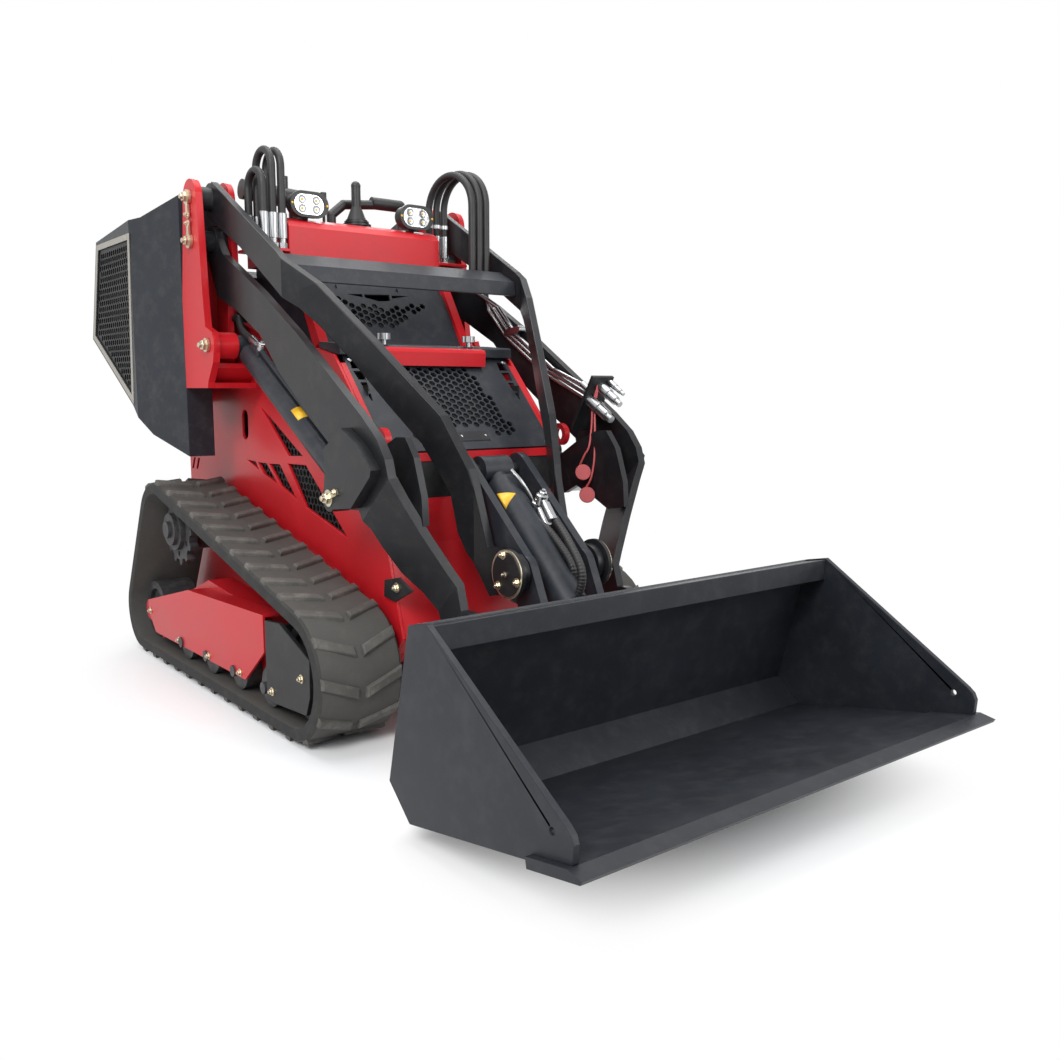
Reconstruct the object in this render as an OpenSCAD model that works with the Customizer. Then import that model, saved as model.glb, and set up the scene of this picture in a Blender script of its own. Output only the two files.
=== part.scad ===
/* [Tracks] */
// Gap between the body side and a track
track_gap = 16; // [10:1:24]
// Width of one rubber track
track_w = 200; // [180:2:220]
// Radius of the loop round the rear upper drive sprocket, to the lug tips
drive_r = 145; // [135:1:155]
// Radius of the loop round the front idler, to the lug tips
front_r = 158; // [148:1:162]
// Radius of the loop round the rear idler, to the lug tips
rear_r = 125; // [115:1:135]
// Height of the drive sprocket axle above the ground
drive_z = 385; // [370:1:400]
// Place of the drive sprocket axle along the machine
drive_x = -690; // [-710:1:-670]
// Place of the front idler axle along the machine
front_x = 170; // [150:1:190]
// Place of the rear idler axle along the machine
rear_x = -862; // [-890:1:-840]
// Height of a track lug above the carcass
lug_h = 18; // [14:1:22]
// Thickness of the track carcass
belt_t = 22; // [18:1:26]
// Number of lug rows round one track
lug_count = 34; // [28:1:38]
// Number of bottom rollers in each track frame
roller_count = 4; // [3:1:5]
// Radius of a bottom roller
roller_r = 48; // [44:1:50]

/* [Body] */
// Half width of the body between the tracks
body_half = 262; // [240:1:264]
// Thickness of the body side panels
side_t = 8; // [4:1:10]
// Height of the belly above the ground
belly_z = 150; // [130:1:170]
// Thickness of the belly and front plates
shell_t = 8; // [5:1:12]
// Thickness of the perforated screens
mesh_t = 3; // [2:1:4]
// Width of a hole in the hexagonal grilles
hex_hole = 23; // [18:1:25]
// Distance between the holes of the hexagonal grilles
hex_pitch = 30; // [28:1:34]

/* [Towers] */
// Distance of each tower's outer face from the body side
tower_reach = 153; // [149:1:158]
// Thickness of the tower's outer plate
tower_t = 18; // [14:1:20]
// Thickness of the tower's inner plate
inner_t = 16; // [12:1:18]
// Place of the upper frame's pivot along the machine
pivot_x = -479; // [-489:1:-469]
// Height of the upper frame's pivot
pivot_z = 1272; // [1262:1:1292]
// Height of the upper frame's pivot above the lift arms' pivot
link_drop = 110; // [106:1:114]
// Radius of the arm pins
pin_r = 15; // [12:1:17]

/* [Lift arms] */
// Thickness of the arm plates
arm_t = 20; // [16:1:22]
// Distance of the arms' outer faces from the body side at the towers
arm_reach = 100; // [98:1:103]
// Place of the upper hitch pin along the machine
hitch_x = 499; // [489:1:509]
// Height of the upper hitch pin
hitch_z = 391; // [385:1:401]

/* [Cylinders] */
// Radius of the lift cylinders' barrels
lift_r = 30; // [26:1:31]
// Radius of the lift cylinders' rods
lift_rod_r = 17; // [14:1:20]
// Radius of the tilt cylinder's barrel
tilt_r = 40; // [36:1:42]
// Radius of the tilt cylinder's rod
tilt_rod_r = 20; // [16:1:24]

/* [Bucket] */
// Width of the bucket
bucket_w = 1100; // [1040:10:1200]
// Thickness of the bucket's side plates
bucket_side_t = 12; // [8:1:14]
// Thickness of the bucket's shell
bucket_t = 8; // [6:1:10]

/* [Hidden] */
gap = 0.3;
red = [0.82, 0.16, 0.17];
dark = [0.17, 0.19, 0.22];
black = [0.09, 0.09, 0.10];
rubber = [0.20, 0.20, 0.19];
steel = [0.72, 0.72, 0.70];
zinc = [0.80, 0.70, 0.42];
tower_out = body_half + tower_reach;
arm_in = body_half + arm_reach - arm_t;

// Extrudes an outline drawn in X and Z from y0 to y1
module slab(y0, y1) {
    translate([0, max(y0, y1), 0]) rotate([90, 0, 0]) linear_extrude(abs(y1 - y0)) children();
}
// A round pin along Y
module rod_y(x, z, r, y0, y1) {
    slab(y0, y1) translate([x, z]) circle(r, $fn = 48);
}
// A round rod from one point to another in the plane y
module rod_xz(a, b, r, y) {
    len = norm(b - a);
    translate([a[0], y, a[1]]) rotate([0, 90 - atan2(b[1] - a[1], b[0] - a[0]), 0])
        cylinder(r = r, h = len, $fn = 40);
}
module mirrored() {
    mirror([0, 1, 0]) children();
}
module both() {
    children();
    mirrored() children();
}
// A flat strip of width w from a to b with round ends
module strip(a, b, w) {
    d = b - a;
    translate(a) rotate(atan2(d[1], d[0])) {
        translate([0, -w / 2]) square([norm(d), w]);
        circle(w / 2, $fn = 48);
        translate([norm(d), 0]) circle(w / 2, $fn = 48);
    }
}
// Whether a point lies inside an outline
function inside(p, v) = len([for (i = [0 : len(v) - 1]) let (a = v[i], b = v[(i + 1) % len(v)])
    if ((a[1] > p[1]) != (b[1] > p[1]) && p[0] < (b[0] - a[0]) * (p[1] - a[1]) / (b[1] - a[1]) + a[0]) 1]) % 2 == 1;
hex_corner = hex_hole / sqrt(3);
function clear_of(p, v, rim) = len([for (k = [0 : 5]) if (!inside(p + (hex_corner + rim) * [sin(60 * k), cos(60 * k)], v)) 1]) == 0;
// The hexagonal holes, in staggered rows, that lie whole inside an outline and a rim's width off it
module hex_field(v, rim) {
    low = [min([for (p = v) p[0]]), min([for (p = v) p[1]])];
    high = [max([for (p = v) p[0]]), max([for (p = v) p[1]])];
    row = hex_pitch * sqrt(3) / 2;
    for (j = [0 : ceil((high[1] - low[1]) / row)], i = [0 : ceil((high[0] - low[0]) / hex_pitch)]) {
        at = low + [hex_pitch * (i + (j % 2) / 2), row * j];
        if (clear_of(at, v, rim)) translate(at) rotate(30) circle(hex_corner, $fn = 6);
    }
}
// A round tube through a list of points, with balls at its bends
module tube(points, r) {
    for (i = [0 : len(points) - 2]) {
        d = points[i + 1] - points[i];
        translate(points[i]) rotate([0, acos(d[2] / norm(d)), atan2(d[1], d[0])]) cylinder(r = r, h = norm(d), $fn = 32);
    }
    for (i = [1 : 1 : len(points) - 2]) translate(points[i]) sphere(r + 0.3, $fn = 32);
}
// A flat shape drawn in Y and Z, standing at x and t thick towards +X
module slab_x(x, t) {
    translate([x, 0, 0]) rotate([90, 0, 90]) linear_extrude(t) children();
}
// An upright oval w wide and h high about a point
module oval(at, w, h) {
    strip([at[0] - (w - h) / 2, at[1]], [at[0] + (w - h) / 2, at[1]], h);
}
// A flat shape laid in the sloping plane from `low` up to `high`, its Y across and its X along the slope
module on_slope(low, high, t) {
    d = high - low;
    translate([low[0], 0, low[1]]) rotate([0, -atan2(d[1], d[0]), 0]) linear_extrude(t) children();
}
// A ribbon seen from above: path of [x, y], thickness t towards +Y
module ribbon(path, t) {
    n = len(path);
    function dir(i) = (path[i + 1] - path[i]) / norm(path[i + 1] - path[i]);
    function nrm(i) = [-dir(i)[1], dir(i)[0]];
    function miter(i) = i == 0 ? nrm(0) : i == n - 1 ? nrm(n - 2)
        : (nrm(i - 1) + nrm(i)) / (1 + nrm(i - 1) * nrm(i));
    polygon(concat(path, [for (i = [n - 1 : -1 : 0]) path[i] + t * miter(i)]));
}
// A plate bent along upright lines: its side view kept inside its ribbon
module bent_plate(path, t, top) {
    intersection() {
        slab(-600, 600) children();
        linear_extrude(top) ribbon(path, t);
    }
}

// Track loop
front_z = front_r;
rear_z = rear_r;
track_in = body_half + track_gap;
track_out = track_in + track_w;
wheels = [[front_x, front_z, front_r], [drive_x, drive_z, drive_r], [rear_x, rear_z, rear_r]];
// Angle of the outward normal of the straight run from wheel i to the next
function run_angle(i) = let (a = wheels[i], b = wheels[(i + 1) % 3], dx = b[0] - a[0], dz = b[1] - a[1],
    d = norm([dx, dz])) atan2(dz, dx) - 90 + asin((a[2] - b[2]) / d);
function wrap(a, from) = a < from ? wrap(a + 360, from) : a >= from + 360 ? wrap(a - 360, from) : a;
arc_steps = 11;
function loop_points(inset) = [for (i = [0 : 2]) let (a0 = run_angle((i + 2) % 3), a1 = wrap(run_angle(i), a0),
    w = wheels[i]) for (k = [0 : arc_steps]) let (a = a0 + (a1 - a0) * k / arc_steps)
    [w[0] + (w[2] - inset) * cos(a), w[1] + (w[2] - inset) * sin(a)]];
// The loop as a list of lengths, for placing the lugs evenly
base = loop_points(lug_h);
base_n = len(base);
function seg_len(i) = norm(base[(i + 1) % base_n] - base[i]);
function run_to(i) = i == 0 ? 0 : run_to(i - 1) + seg_len(i - 1);
loop_len = run_to(base_n);
function seg_at(s, i = 0) = s <= seg_len(i) || i == base_n - 1 ? [i, s] : seg_at(s - seg_len(i), i + 1);
lug_w = 26;
lug_sink = 6;

module belt() {
    slab(track_in, track_out) difference() {
        polygon(loop_points(lug_h));
        polygon(loop_points(lug_h + belt_t));
    }
}
// One lug seen from above: two half bars joined by a slanted middle, as on a stepped shoe
module lug_shape() {
    h = track_w / 2;
    s = 14;
    polygon([[-lug_w / 2 - s, 0], [lug_w / 2 - s, 0], [lug_w / 2 - s, h - 14], [lug_w / 2 + s, h + 14],
        [lug_w / 2 + s, 2 * h], [-lug_w / 2 + s, 2 * h], [-lug_w / 2 + s, h + 14], [-lug_w / 2 - s, h - 14]]);
}
module lug(s) {
    at = seg_at(s);
    p = base[at[0]];
    q = base[(at[0] + 1) % base_n];
    d = (q - p) / norm(q - p);
    c = p + d * at[1];
    translate([c[0], track_in, c[1]]) rotate([0, -atan2(d[1], d[0]), 0])
        mirror([0, 0, 1]) translate([0, 0, -lug_sink]) linear_extrude(lug_h + lug_sink) lug_shape();
}
module track() {
    color(rubber) union() {
        belt();
        for (i = [0 : lug_count - 1]) lug((i + 0.5) * loop_len / lug_count);
    }
}
module track_r() {
    mirrored() track();
}
module track_l() {
    track();
}

// Track frame and its wheels
frame_half = 34;
mid_y = (track_in + track_out) / 2;
wheel_gap = 2;
function inner_r(w) = w[2] - lug_h - belt_t - wheel_gap;
roller_z = lug_h + belt_t + roller_r + wheel_gap;
roller_x0 = -541;
roller_x1 = 8;
function roller_x(i) = roller_x0 + (roller_x1 - roller_x0) * i / (roller_count - 1);
axle_r = 14;
guard_y = track_out - 10;
guard_t = 6;
frame_low = roller_z;
idler_w = 100;
fork_half = idler_w / 2 + 21;
beam_x0 = -745;
beam_x1 = 28;

module track_frame() {
    beam_top = [[beam_x0, 150], [beam_x0 + 60, 190], [-470, 268], [beam_x1, 225]];
    color(red) difference() {
        union() {
            // beam between the two runs of the track
            slab(mid_y - frame_half, mid_y + frame_half)
                polygon(concat([[beam_x1, frame_low - 30], [beam_x0, frame_low - 30]], beam_top));
            // cover plate outside the rollers, with its bent top shelf
            slab(guard_y - guard_t, guard_y)
                polygon([[-811, 166], [-474, 247], [14, 264], [14, 175], [-103, 84], [-756, 78], [-811, 130]]);
            slab(mid_y + frame_half, guard_y - guard_t)
                polygon([[beam_x0, 172], [-474, 247], [14, 264], [14, 258], [-474, 241], [beam_x0, 166]]);
            // fork that carries the rear idler
            for (side = [-1, 1])
                slab(mid_y + side * (idler_w / 2 + 11), mid_y + side * fork_half) strip([beam_x0, rear_z], [rear_x, rear_z], 60);
            slab(mid_y - fork_half, mid_y + fork_half)
                polygon([[beam_x0, frame_low - 30], [beam_x0 - 12, frame_low - 30], [beam_x0 - 12, 165], [beam_x0, 165]]);
            // stubs that join the beam to the body
            for (x = [-440, -140])
                translate([x - 45, body_half, 165]) cube([90, mid_y - frame_half - body_half, 55]);
        }
        for (i = [0 : roller_count - 1])
            rod_y(roller_x(i), roller_z, axle_r + gap, mid_y - frame_half - 1, guard_y + 1);
        rod_y(rear_x, rear_z, axle_r + gap, mid_y - 100, mid_y + 100);
    }
}
module track_frames() {
    both() track_frame();
}
module rollers() {
    color(dark) both() for (i = [0 : roller_count - 1]) {
        rod_y(roller_x(i), roller_z, axle_r, mid_y - frame_half - 42, guard_y + 4);
        for (side = [-1, 1])
            rod_y(roller_x(i), roller_z, roller_r, mid_y + side * (frame_half + 1), mid_y + side * (frame_half + 40));
    }
}
// A spoked idler wheel turned about its axle
module idler_wheel(r, x, z) {
    translate([x, mid_y, z]) rotate([90, 0, 0]) difference() {
        rotate_extrude($fn = 64) polygon([[0, -idler_w / 2 - 10], [axle_r + 14, -idler_w / 2 - 10],
            [axle_r + 14, -idler_w / 2 + 12], [r - 22, -idler_w / 2 + 12], [r - 22, -idler_w / 2], [r, -idler_w / 2],
            [r, idler_w / 2], [r - 22, idler_w / 2], [r - 22, idler_w / 2 - 12], [axle_r + 14, idler_w / 2 - 12],
            [axle_r + 14, idler_w / 2 + 10], [0, idler_w / 2 + 10]]);
        cylinder(r = axle_r + gap, h = idler_w + 40, center = true, $fn = 48);
    }
}
module front_idlers() {
    color(dark) both() {
        idler_wheel(inner_r(wheels[0]), front_x, front_z);
        rod_y(front_x, front_z, axle_r, yoke_in + yoke_t, yoke_out - yoke_t);
    }
}
module rear_idlers() {
    color(dark) both() {
        idler_wheel(inner_r(wheels[2]), rear_x, rear_z);
        rod_y(rear_x, rear_z, axle_r, mid_y - fork_half, mid_y + fork_half);
    }
}
yoke_out = track_out - 8;
yoke_in = track_in + 10;
yoke_t = 10;
module yoke_plates() {
    outline = [[beam_x1, 255], [107, 262], [255, 208], [252, 125], [232, 80], [beam_x1, 64]];
    color(black) both() {
        slab(yoke_out - yoke_t, yoke_out) polygon(outline);
        slab(yoke_in, yoke_in + yoke_t) polygon(outline);
        translate([beam_x1, yoke_in, 165]) cube([15, yoke_out - yoke_in, 75]);
    }
}
// Drive sprocket with its hub motor on the body side
tooth_count = 13;
module sprockets() {
    r = inner_r(wheels[1]);
    color(dark) both() {
        slab(mid_y + 10, mid_y + 34) translate([drive_x, drive_z]) difference() {
            union() {
                circle(r - 14, $fn = 64);
                for (i = [0 : tooth_count - 1]) rotate(i * 360 / tooth_count)
                    polygon([[r - 20, -15], [r, -7], [r, 7], [r - 20, 15]]);
            }
            for (i = [0 : 5]) rotate(i * 60 + 30) translate([r - 32, 0]) circle(8, $fn = 24);
        }
        rod_y(drive_x, drive_z, 62, body_half, mid_y + 10);
        // hub with its stepped rim
        rod_y(drive_x, drive_z, 60, mid_y + 34, mid_y + 48);
        rod_y(drive_x, drive_z, 46, mid_y + 48, mid_y + 60);
        rod_y(drive_x, drive_z, 24, mid_y + 60, mid_y + 70);
    }
}

// Body shell
panel_out = body_half;
panel_in = body_half - side_t;
deck_z = 880;
rear_wall_x = -985;
lip_x = 205;
belly_end = 200;
lip_z = 640;
lip_low = lip_z - 24;
hood_top_x = 0;
hood_top_z = 862;
nose = [[262, 190], [295, 230], [262, 330], [230, 430], [212, 530]];
module side_outline() {
    polygon(concat([[rear_wall_x, belly_z], [belly_end, belly_z]], nose,
        [[lip_x, 600], [lip_x, lip_z], [hood_top_x, hood_top_z], [-90, deck_z], [rear_wall_x, deck_z]]));
}
// Cut-outs of the side panel: the slanted triangles and their bars, and the oval hand hole
vents = [
    [[-433, 737], [-183, 613], [-262, 609]],
    [[-533, 585], [-478, 583], [-455, 562]],
    [[-462, 582], [-405, 582], [-342, 532], [-425, 552]],
    [[-388, 582], [-322, 584], [-226, 500], [-318, 528]],
    [[-270, 588], [-165, 590], [46, 430], [-172, 484]]
];
module side_panels() {
    color(red) both() slab(panel_in, panel_out) difference() {
        side_outline();
        for (v = vents) polygon(v);
        strip([-540, 662], [-540, 704], 40);
        for (x = [-962, -926]) polygon([[x - 10, 536], [x + 6, 536], [x + 26, 570], [x + 10, 570]]);
    }
}
screen = [[-560, 600], [-450, 760], [-160, 640], [70, 480], [70, 400], [-180, 460], [-350, 510]];
module side_screens() {
    color(black) both() slab(panel_in - mesh_t, panel_in) difference() {
        polygon(screen);
        hex_field(screen, 5);
    }
}
module tub() {
    color(red) {
        translate([rear_wall_x, -panel_in, belly_z]) cube([belly_end - shell_t - rear_wall_x, 2 * panel_in, shell_t]);
        translate([rear_wall_x, -panel_in, belly_z + shell_t]) cube([shell_t, 2 * panel_in, deck_z - belly_z - shell_t]);
        translate([rear_wall_x + shell_t, -panel_in, deck_z - shell_t]) cube([-90 - rear_wall_x - shell_t, 2 * panel_in, shell_t]);
    }
}
function shifted(points, dx) = [for (p = points) p + [dx, 0]];
function reversed(v) = [for (i = [len(v) - 1 : -1 : 0]) v[i]];
module belly_front() {
    front = concat([[belly_end, belly_z]], nose);
    color(red) slab(-panel_in, panel_in) polygon(concat(front, reversed(shifted(front, -shell_t))));
}
module front_panel() {
    color(black) slab(-panel_in, panel_in) polygon([[196, 530], [204, 530], [199, lip_low], [191, lip_low]]);
}
// Hood: a folded sheet with a hexagonal field and tapering slots down each side
hood_low = [lip_x, lip_z];
hood_top = [hood_top_x, hood_top_z];
hood_len = norm(hood_top - hood_low);
hood_t = 6;
frame_w = 14;
hood_half = panel_in - frame_w;
// Each slot: its ends along the slope, its widths there, and its middle line
hood_slots = [[286, 258, 20, 27], [250, 222, 26, 19], [214, 186, 18, 11], [178, 156, 10, 4]];
slot_y = hood_half - 23;
module hood() {
    // the field leaves a place for a plate near the lip
    field = [[36, -162], [36, -40], [64, -40], [64, 70], [36, 70], [36, 162], [270, 112], [270, -112]];
    color(dark) on_slope(hood_low, hood_top, hood_t) difference() {
        translate([0, -hood_half]) square([hood_len, 2 * hood_half]);
        hex_field(field, 0);
        for (k = hood_slots, side = [-1, 1]) polygon([[k[0], side * slot_y - k[2] / 2], [k[0], side * slot_y + k[2] / 2],
            [k[1], side * slot_y + k[3] / 2], [k[1], side * slot_y - k[3] / 2]]);
    }
}
// Red edge of the body round the hood: a strip on each side and the folded lip below
module hood_frame() {
    color(red) {
        both() on_slope(hood_low, hood_top, hood_t) translate([0, hood_half]) square([hood_len - 26, frame_w]);
        slab(-panel_in, panel_in)
            polygon([[170, lip_low], [lip_x, lip_low], [lip_x, lip_z - 4.5], [170, lip_z - 4.5]]);
    }
}
beam_half = 154;
bar_x = 14;
knob_z = hood_top_z + 27;
module hood_beam() {
    color(dark) slab(-panel_in, panel_in) polygon([[-90, deck_z], [hood_top_x, hood_top_z], [bar_x, hood_top_z],
        [bar_x, knob_z - 5], [8, knob_z], [-8, knob_z], [-90, deck_z + 16]]);
}
module red_bar() {
    color(red) slab(-beam_half, beam_half) polygon([[bar_x, hood_top_z - 13], [36, hood_top_z - 24],
        [38, hood_top_z + 10], [34, hood_top_z + 18], [bar_x, hood_top_z + 22]]);
}
module clamp_knobs() {
    color(steel) both() {
        translate([0, 125, knob_z]) cylinder(r = 6, h = 14, $fn = 24);
        translate([0, 125, knob_z + 12]) linear_extrude(15) difference() {
            circle(17, $fn = 40);
            for (i = [0 : 4]) rotate(i * 72) translate([19, 0]) circle(6, $fn = 24);
        }
    }
}
// Console: a folded red cover, open below, on a hollow dark box
console_half = body_half - 33;
top_z = 1222;
cover_z = 1112;
cover_t = 5;
console_back = -560;
cover_side = [[-290, cover_z], [-290, 1196], [-304, 1212], [-330, top_z], [-530, top_z], [console_back, 1196],
    [console_back, cover_z]];
module console() {
    color(red) difference() {
        slab(-console_half, console_half) polygon(cover_side);
        slab(-console_half + cover_t, console_half - cover_t) offset(delta = -cover_t) polygon(cover_side);
        translate([console_back + cover_t, -console_half + cover_t, cover_z - 1])
            cube([-290 - console_back - 2 * cover_t, 2 * (console_half - cover_t), 2 * cover_t]);
    }
    // plates that hold the ends of the hoses
    color(red) both() translate([-405, console_half, plate_z]) cube([122, inner_y + 10 - console_half, ledge_t]);
}
console_low = [[console_back, deck_z], [-156.8, deck_z], [-156.8, deck_z + 16], [-253.4, 1052], [-290, cover_z],
    [console_back, cover_z]];
box_half = console_half - 25;
module console_box() {
    color(dark) difference() {
        slab(-box_half, box_half) polygon(console_low);
        slab(-box_half + cover_t, box_half - cover_t) offset(delta = -cover_t) polygon(console_low);
        // opening behind the upper grille
        slab(-150, 150) polygon([[-260, 1030], [-190, 915], [-120, 915], [-190, 1030]]);
    }
}
// Upper grille: two hinge tabs, a row of slots in a flat V over a V shaped field, and a corner field
grille_low = [-150, deck_z + 17];
grille_top = [-246, 1052];
grille_t = 6;
v_slots = [
    [[154, -100], [157, -54], [146, -54]],
    [[156, -48], [160, 30], [140, 26], [136, -8], [146, -48]],
    [[158, 36], [160, 92], [148, 36]]
];
module upper_grille() {
    field = [[150, -146], [138, -100], [122, 0], [138, 100], [160, 146], [110, 132], [92, 66], [50, 40], [50, -92],
        [100, -110]];
    color(dark) on_slope(grille_low, grille_top, grille_t) {
        difference() {
            translate([0, -box_half]) square([170, 2 * box_half]);
            hex_field(field, -2);
            for (v = v_slots) polygon(v);
        }
        // hinge tabs
        for (y = [-92, 92]) translate([169, y - 30]) square([15, 60]);
    }
}
module grille_posts() {
    color(red) both() slab(box_half, box_half + 24) polygon([[-168, deck_z], [-138, deck_z + 18], [-244, 1068], [-274, 1068]]);
}
// Oval work lamps: bezel, housing, back and foot
lamp_at = [163, 1257];
lamp_x = -300;
lamp_w = 85;
lamp_h = 51;
lamp_fit = 0.5;
module work_lamps() {
    color(black) both() {
        slab_x(lamp_x - 10, 10) difference() {
            oval(lamp_at, lamp_w + 23, lamp_h + 15);
            oval(lamp_at, lamp_w + 2 * lamp_fit, lamp_h + 2 * lamp_fit);
        }
        slab_x(lamp_x - 34, 24) oval(lamp_at, lamp_w + 19, lamp_h + 9);
        slab_x(lamp_x - 46, 12) oval(lamp_at, 80, 40);
        translate([lamp_x - 46, lamp_at[0] - 9, top_z]) cube([14, 18, 30]);
    }
}
module lamp_lenses() {
    color(steel) both() slab_x(lamp_x - 10, 6) oval(lamp_at, lamp_w, lamp_h);
}
// Joystick in its rubber boot, and a thin lever
stick_at = [-400, 27];
module control_levers() {
    color(black) {
        translate([stick_at[0], stick_at[1], top_z]) {
            for (k = [[0, 46], [9, 40], [17, 34]]) translate([0, 0, k[0]]) cylinder(r = k[1], h = 5, $fn = 48);
            cylinder(r = 30, h = 26, $fn = 48);
            translate([0, 0, 25]) cylinder(r1 = 28, r2 = 10, h = 44, $fn = 48);
            translate([0, 0, 60]) cylinder(r = 13, h = 58, $fn = 32);
            translate([0, 0, 118]) sphere(13.4, $fn = 32);
        }
        translate([-345, -101, top_z]) cylinder(r = 4, h = 40, $fn = 24);
        translate([-345, -101, top_z + 36]) cylinder(r = 8, h = 42, $fn = 32);
    }
}
bar_r = 13;
// Handlebar: a bent tube with a fat grip at each end
bar_x0 = -440;
grip_z = 1308;
module handlebar() {
    color(black) {
        tube([[bar_x0, -30, top_z], [bar_x0, -30, 1262], [bar_x0, 9, 1294], [bar_x0, 150, grip_z]], bar_r);
        translate([bar_x0, 190, grip_z]) rotate([90, 0, 0]) cylinder(r = 17, h = 92, $fn = 40);
        translate([bar_x0, 190, grip_z]) sphere(17.4, $fn = 40);
        translate([bar_x0, 194, top_z]) cylinder(r = 12, h = grip_z - top_z, $fn = 32);
        // fat left grip on its post, with the thumb lever
        translate([bar_x0, -120, 1290]) rotate([86, 0, 0]) cylinder(r = 26, h = 170, $fn = 48);
        translate([bar_x0, -170, 1290]) cylinder(r = 12, h = 58, $fn = 32);
        translate([bar_x0, -140, top_z]) cylinder(r = 16, h = 68, $fn = 32);
    }
}
// Hydraulic hoses that rise from the plates beside the console and turn over
plate_z = cover_z + 18;
ledge_t = 8;
hose_r = 10;
crimp_r = 12.5;
crimp_z = plate_z + 95;
loop_z = plate_z + 266;
module hose_loop(a, b, za, zb, top) {
    d = b - a;
    r = norm(d) / 2;
    translate([a[0], a[1], za]) cylinder(r = hose_r, h = top - hose_r - r - za, $fn = 32);
    translate([b[0], b[1], zb]) cylinder(r = hose_r, h = top - hose_r - r - zb, $fn = 32);
    translate([a[0] + d[0] / 2, a[1] + d[1] / 2, top - hose_r - r]) rotate([90, 0, atan2(d[1], d[0])])
        rotate_extrude(angle = 180, $fn = 64) translate([r, 0]) circle(hose_r, $fn = 32);
}
// Each loop on the right side: its two legs seen from above, measured from the console's side, and its top
side_loops = [
    [[-385, -console_half - 15], [-298, -console_half - 14], loop_z],
    [[-388, -console_half - 41], [-298, -console_half - 39], loop_z],
    [[-382, -console_half - 67], [-298, -console_half - 64], loop_z - 54]
];
// The loops on the left side end on the lift arm's pipes
arm_loops = [
    [[-380, console_half + 76], [-195, arm_in - 18], loop_z],
    [[-380, console_half + 50], [-195, arm_in - 42], loop_z],
    [[-380, console_half + 24], [-195, arm_in - 66], loop_z - 6]
];
module side_hoses() {
    color(black) for (k = side_loops) hose_loop(k[0], k[1], crimp_z, crimp_z, k[2]);
}
module crimp(at) {
    base_z = plate_z + ledge_t;
    translate([at[0], at[1], base_z]) cylinder(r = 9, h = crimp_z - base_z, $fn = 32);
    translate([at[0], at[1], base_z]) cylinder(r = 12, h = 14, $fn = 6);
    translate([at[0], at[1], crimp_z - 62]) cylinder(r = crimp_r, h = 62, $fn = 32);
}
module hose_ends() {
    color(steel) {
        for (k = side_loops, i = [0, 1]) crimp(k[i]);
        for (k = arm_loops) crimp(k[0]);
    }
}
module arm_hoses() {
    color(black) for (k = arm_loops) hose_loop(k[0], k[1], crimp_z, pipe_top + 40.1, k[2]);
}
module rear_cover() {
    color(black) slab(-panel_in, panel_in) polygon([[-960, deck_z], [-566, deck_z], [-566, 1090], [-600, 1110],
        [-860, 1060], [-960, 980]]);
    color(black) slab(-190, 190) polygon([[rear_wall_x, 560], [rear_wall_x, 860], [rear_wall_x - 30, 850],
        [rear_wall_x - 36, 705], [rear_wall_x - 30, 570]]);
}
platform_end = rear_wall_x - 245;
platform_z = 200;
lash_at = [rear_wall_x - 75, 258];
lash_r = 16;
step_out = body_half - 4;
step_in = step_out - 14;
// Operator's platform with round grip holes and side plates that hold the lashing holes
module platform() {
    side = [[rear_wall_x, belly_z], [platform_end, belly_z], [platform_end, platform_z + 14],
        [platform_end + 80, platform_z + 22], [platform_end + 120, platform_z + 90], [rear_wall_x, platform_z + 130]];
    color(black) difference() {
        union() {
            translate([platform_end, -step_in, platform_z]) cube([rear_wall_x - platform_end, 2 * step_in, 8]);
            both() slab(step_in, step_out) polygon(side);
            translate([platform_end, -step_in, belly_z]) cube([8, 2 * step_in, platform_z - belly_z]);
        }
        for (x = [platform_end + 35 : 38 : rear_wall_x - 30]) for (y = [-209 : 38 : 209])
            translate([x, y, platform_z - 10]) cylinder(r = 12, h = 30, $fn = 24);
        rod_y(lash_at[0], lash_at[1], lash_r, -300, 300);
    }
}
module engine_block() {
    color(dark) translate([-680, -190, belly_z + shell_t]) cube([560, 380, 420]);
}
ring_r = 28;
ring_bore = 16;
ring_at = [214, 668];
module tie_rings() {
    color(red) both() slab(panel_in - 4, panel_out + 4) difference() {
        translate(ring_at) circle(ring_r, $fn = 48);
        translate(ring_at) circle(ring_bore, $fn = 48);
        side_outline();
    }
}

// Rear boxes beside the operator
box_out = body_half + 228;
box_front = -561;
pod_in = body_half + 81;
box_rear = [[box_front, 1290], [-700, 1245], [-1059, 1216], [-1149, 935], [-786, 736], [-691, 655], [box_front, 598]];
box_plan = [[box_front, panel_out], [-1160, panel_out], [-1160, box_out], [-745, box_out], [box_front, tower_out]];
grille_face = [[-757, 1190], [-1040, 1190], [-1118, 945], [-790, 765]];
module box_shape(inset) {
    difference() {
        intersection() {
            slab(panel_out + inset, box_out - inset) offset(delta = -inset) polygon(box_rear);
            linear_extrude(1400) offset(delta = -inset) polygon(box_plan);
        }
        // below the tower's foot the box stands clear of the body side
        slab(panel_out - 1, pod_in + inset) polygon([[-800, tower_foot + inset], [-500, tower_foot + inset], [-500, 500],
            [-800, 500]]);
    }
}
module rear_boxes() {
    color(dark) both() difference() {
        box_shape(0);
        box_shape(4);
        slab(box_out - 5, box_out + 1) polygon(grille_face);
    }
}
module rear_grilles() {
    color(black) both() slab(box_out - 4 - mesh_t, box_out - 4) difference() {
        offset(delta = 6) polygon(grille_face);
        hex_field(grille_face, 4);
    }
}

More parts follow.
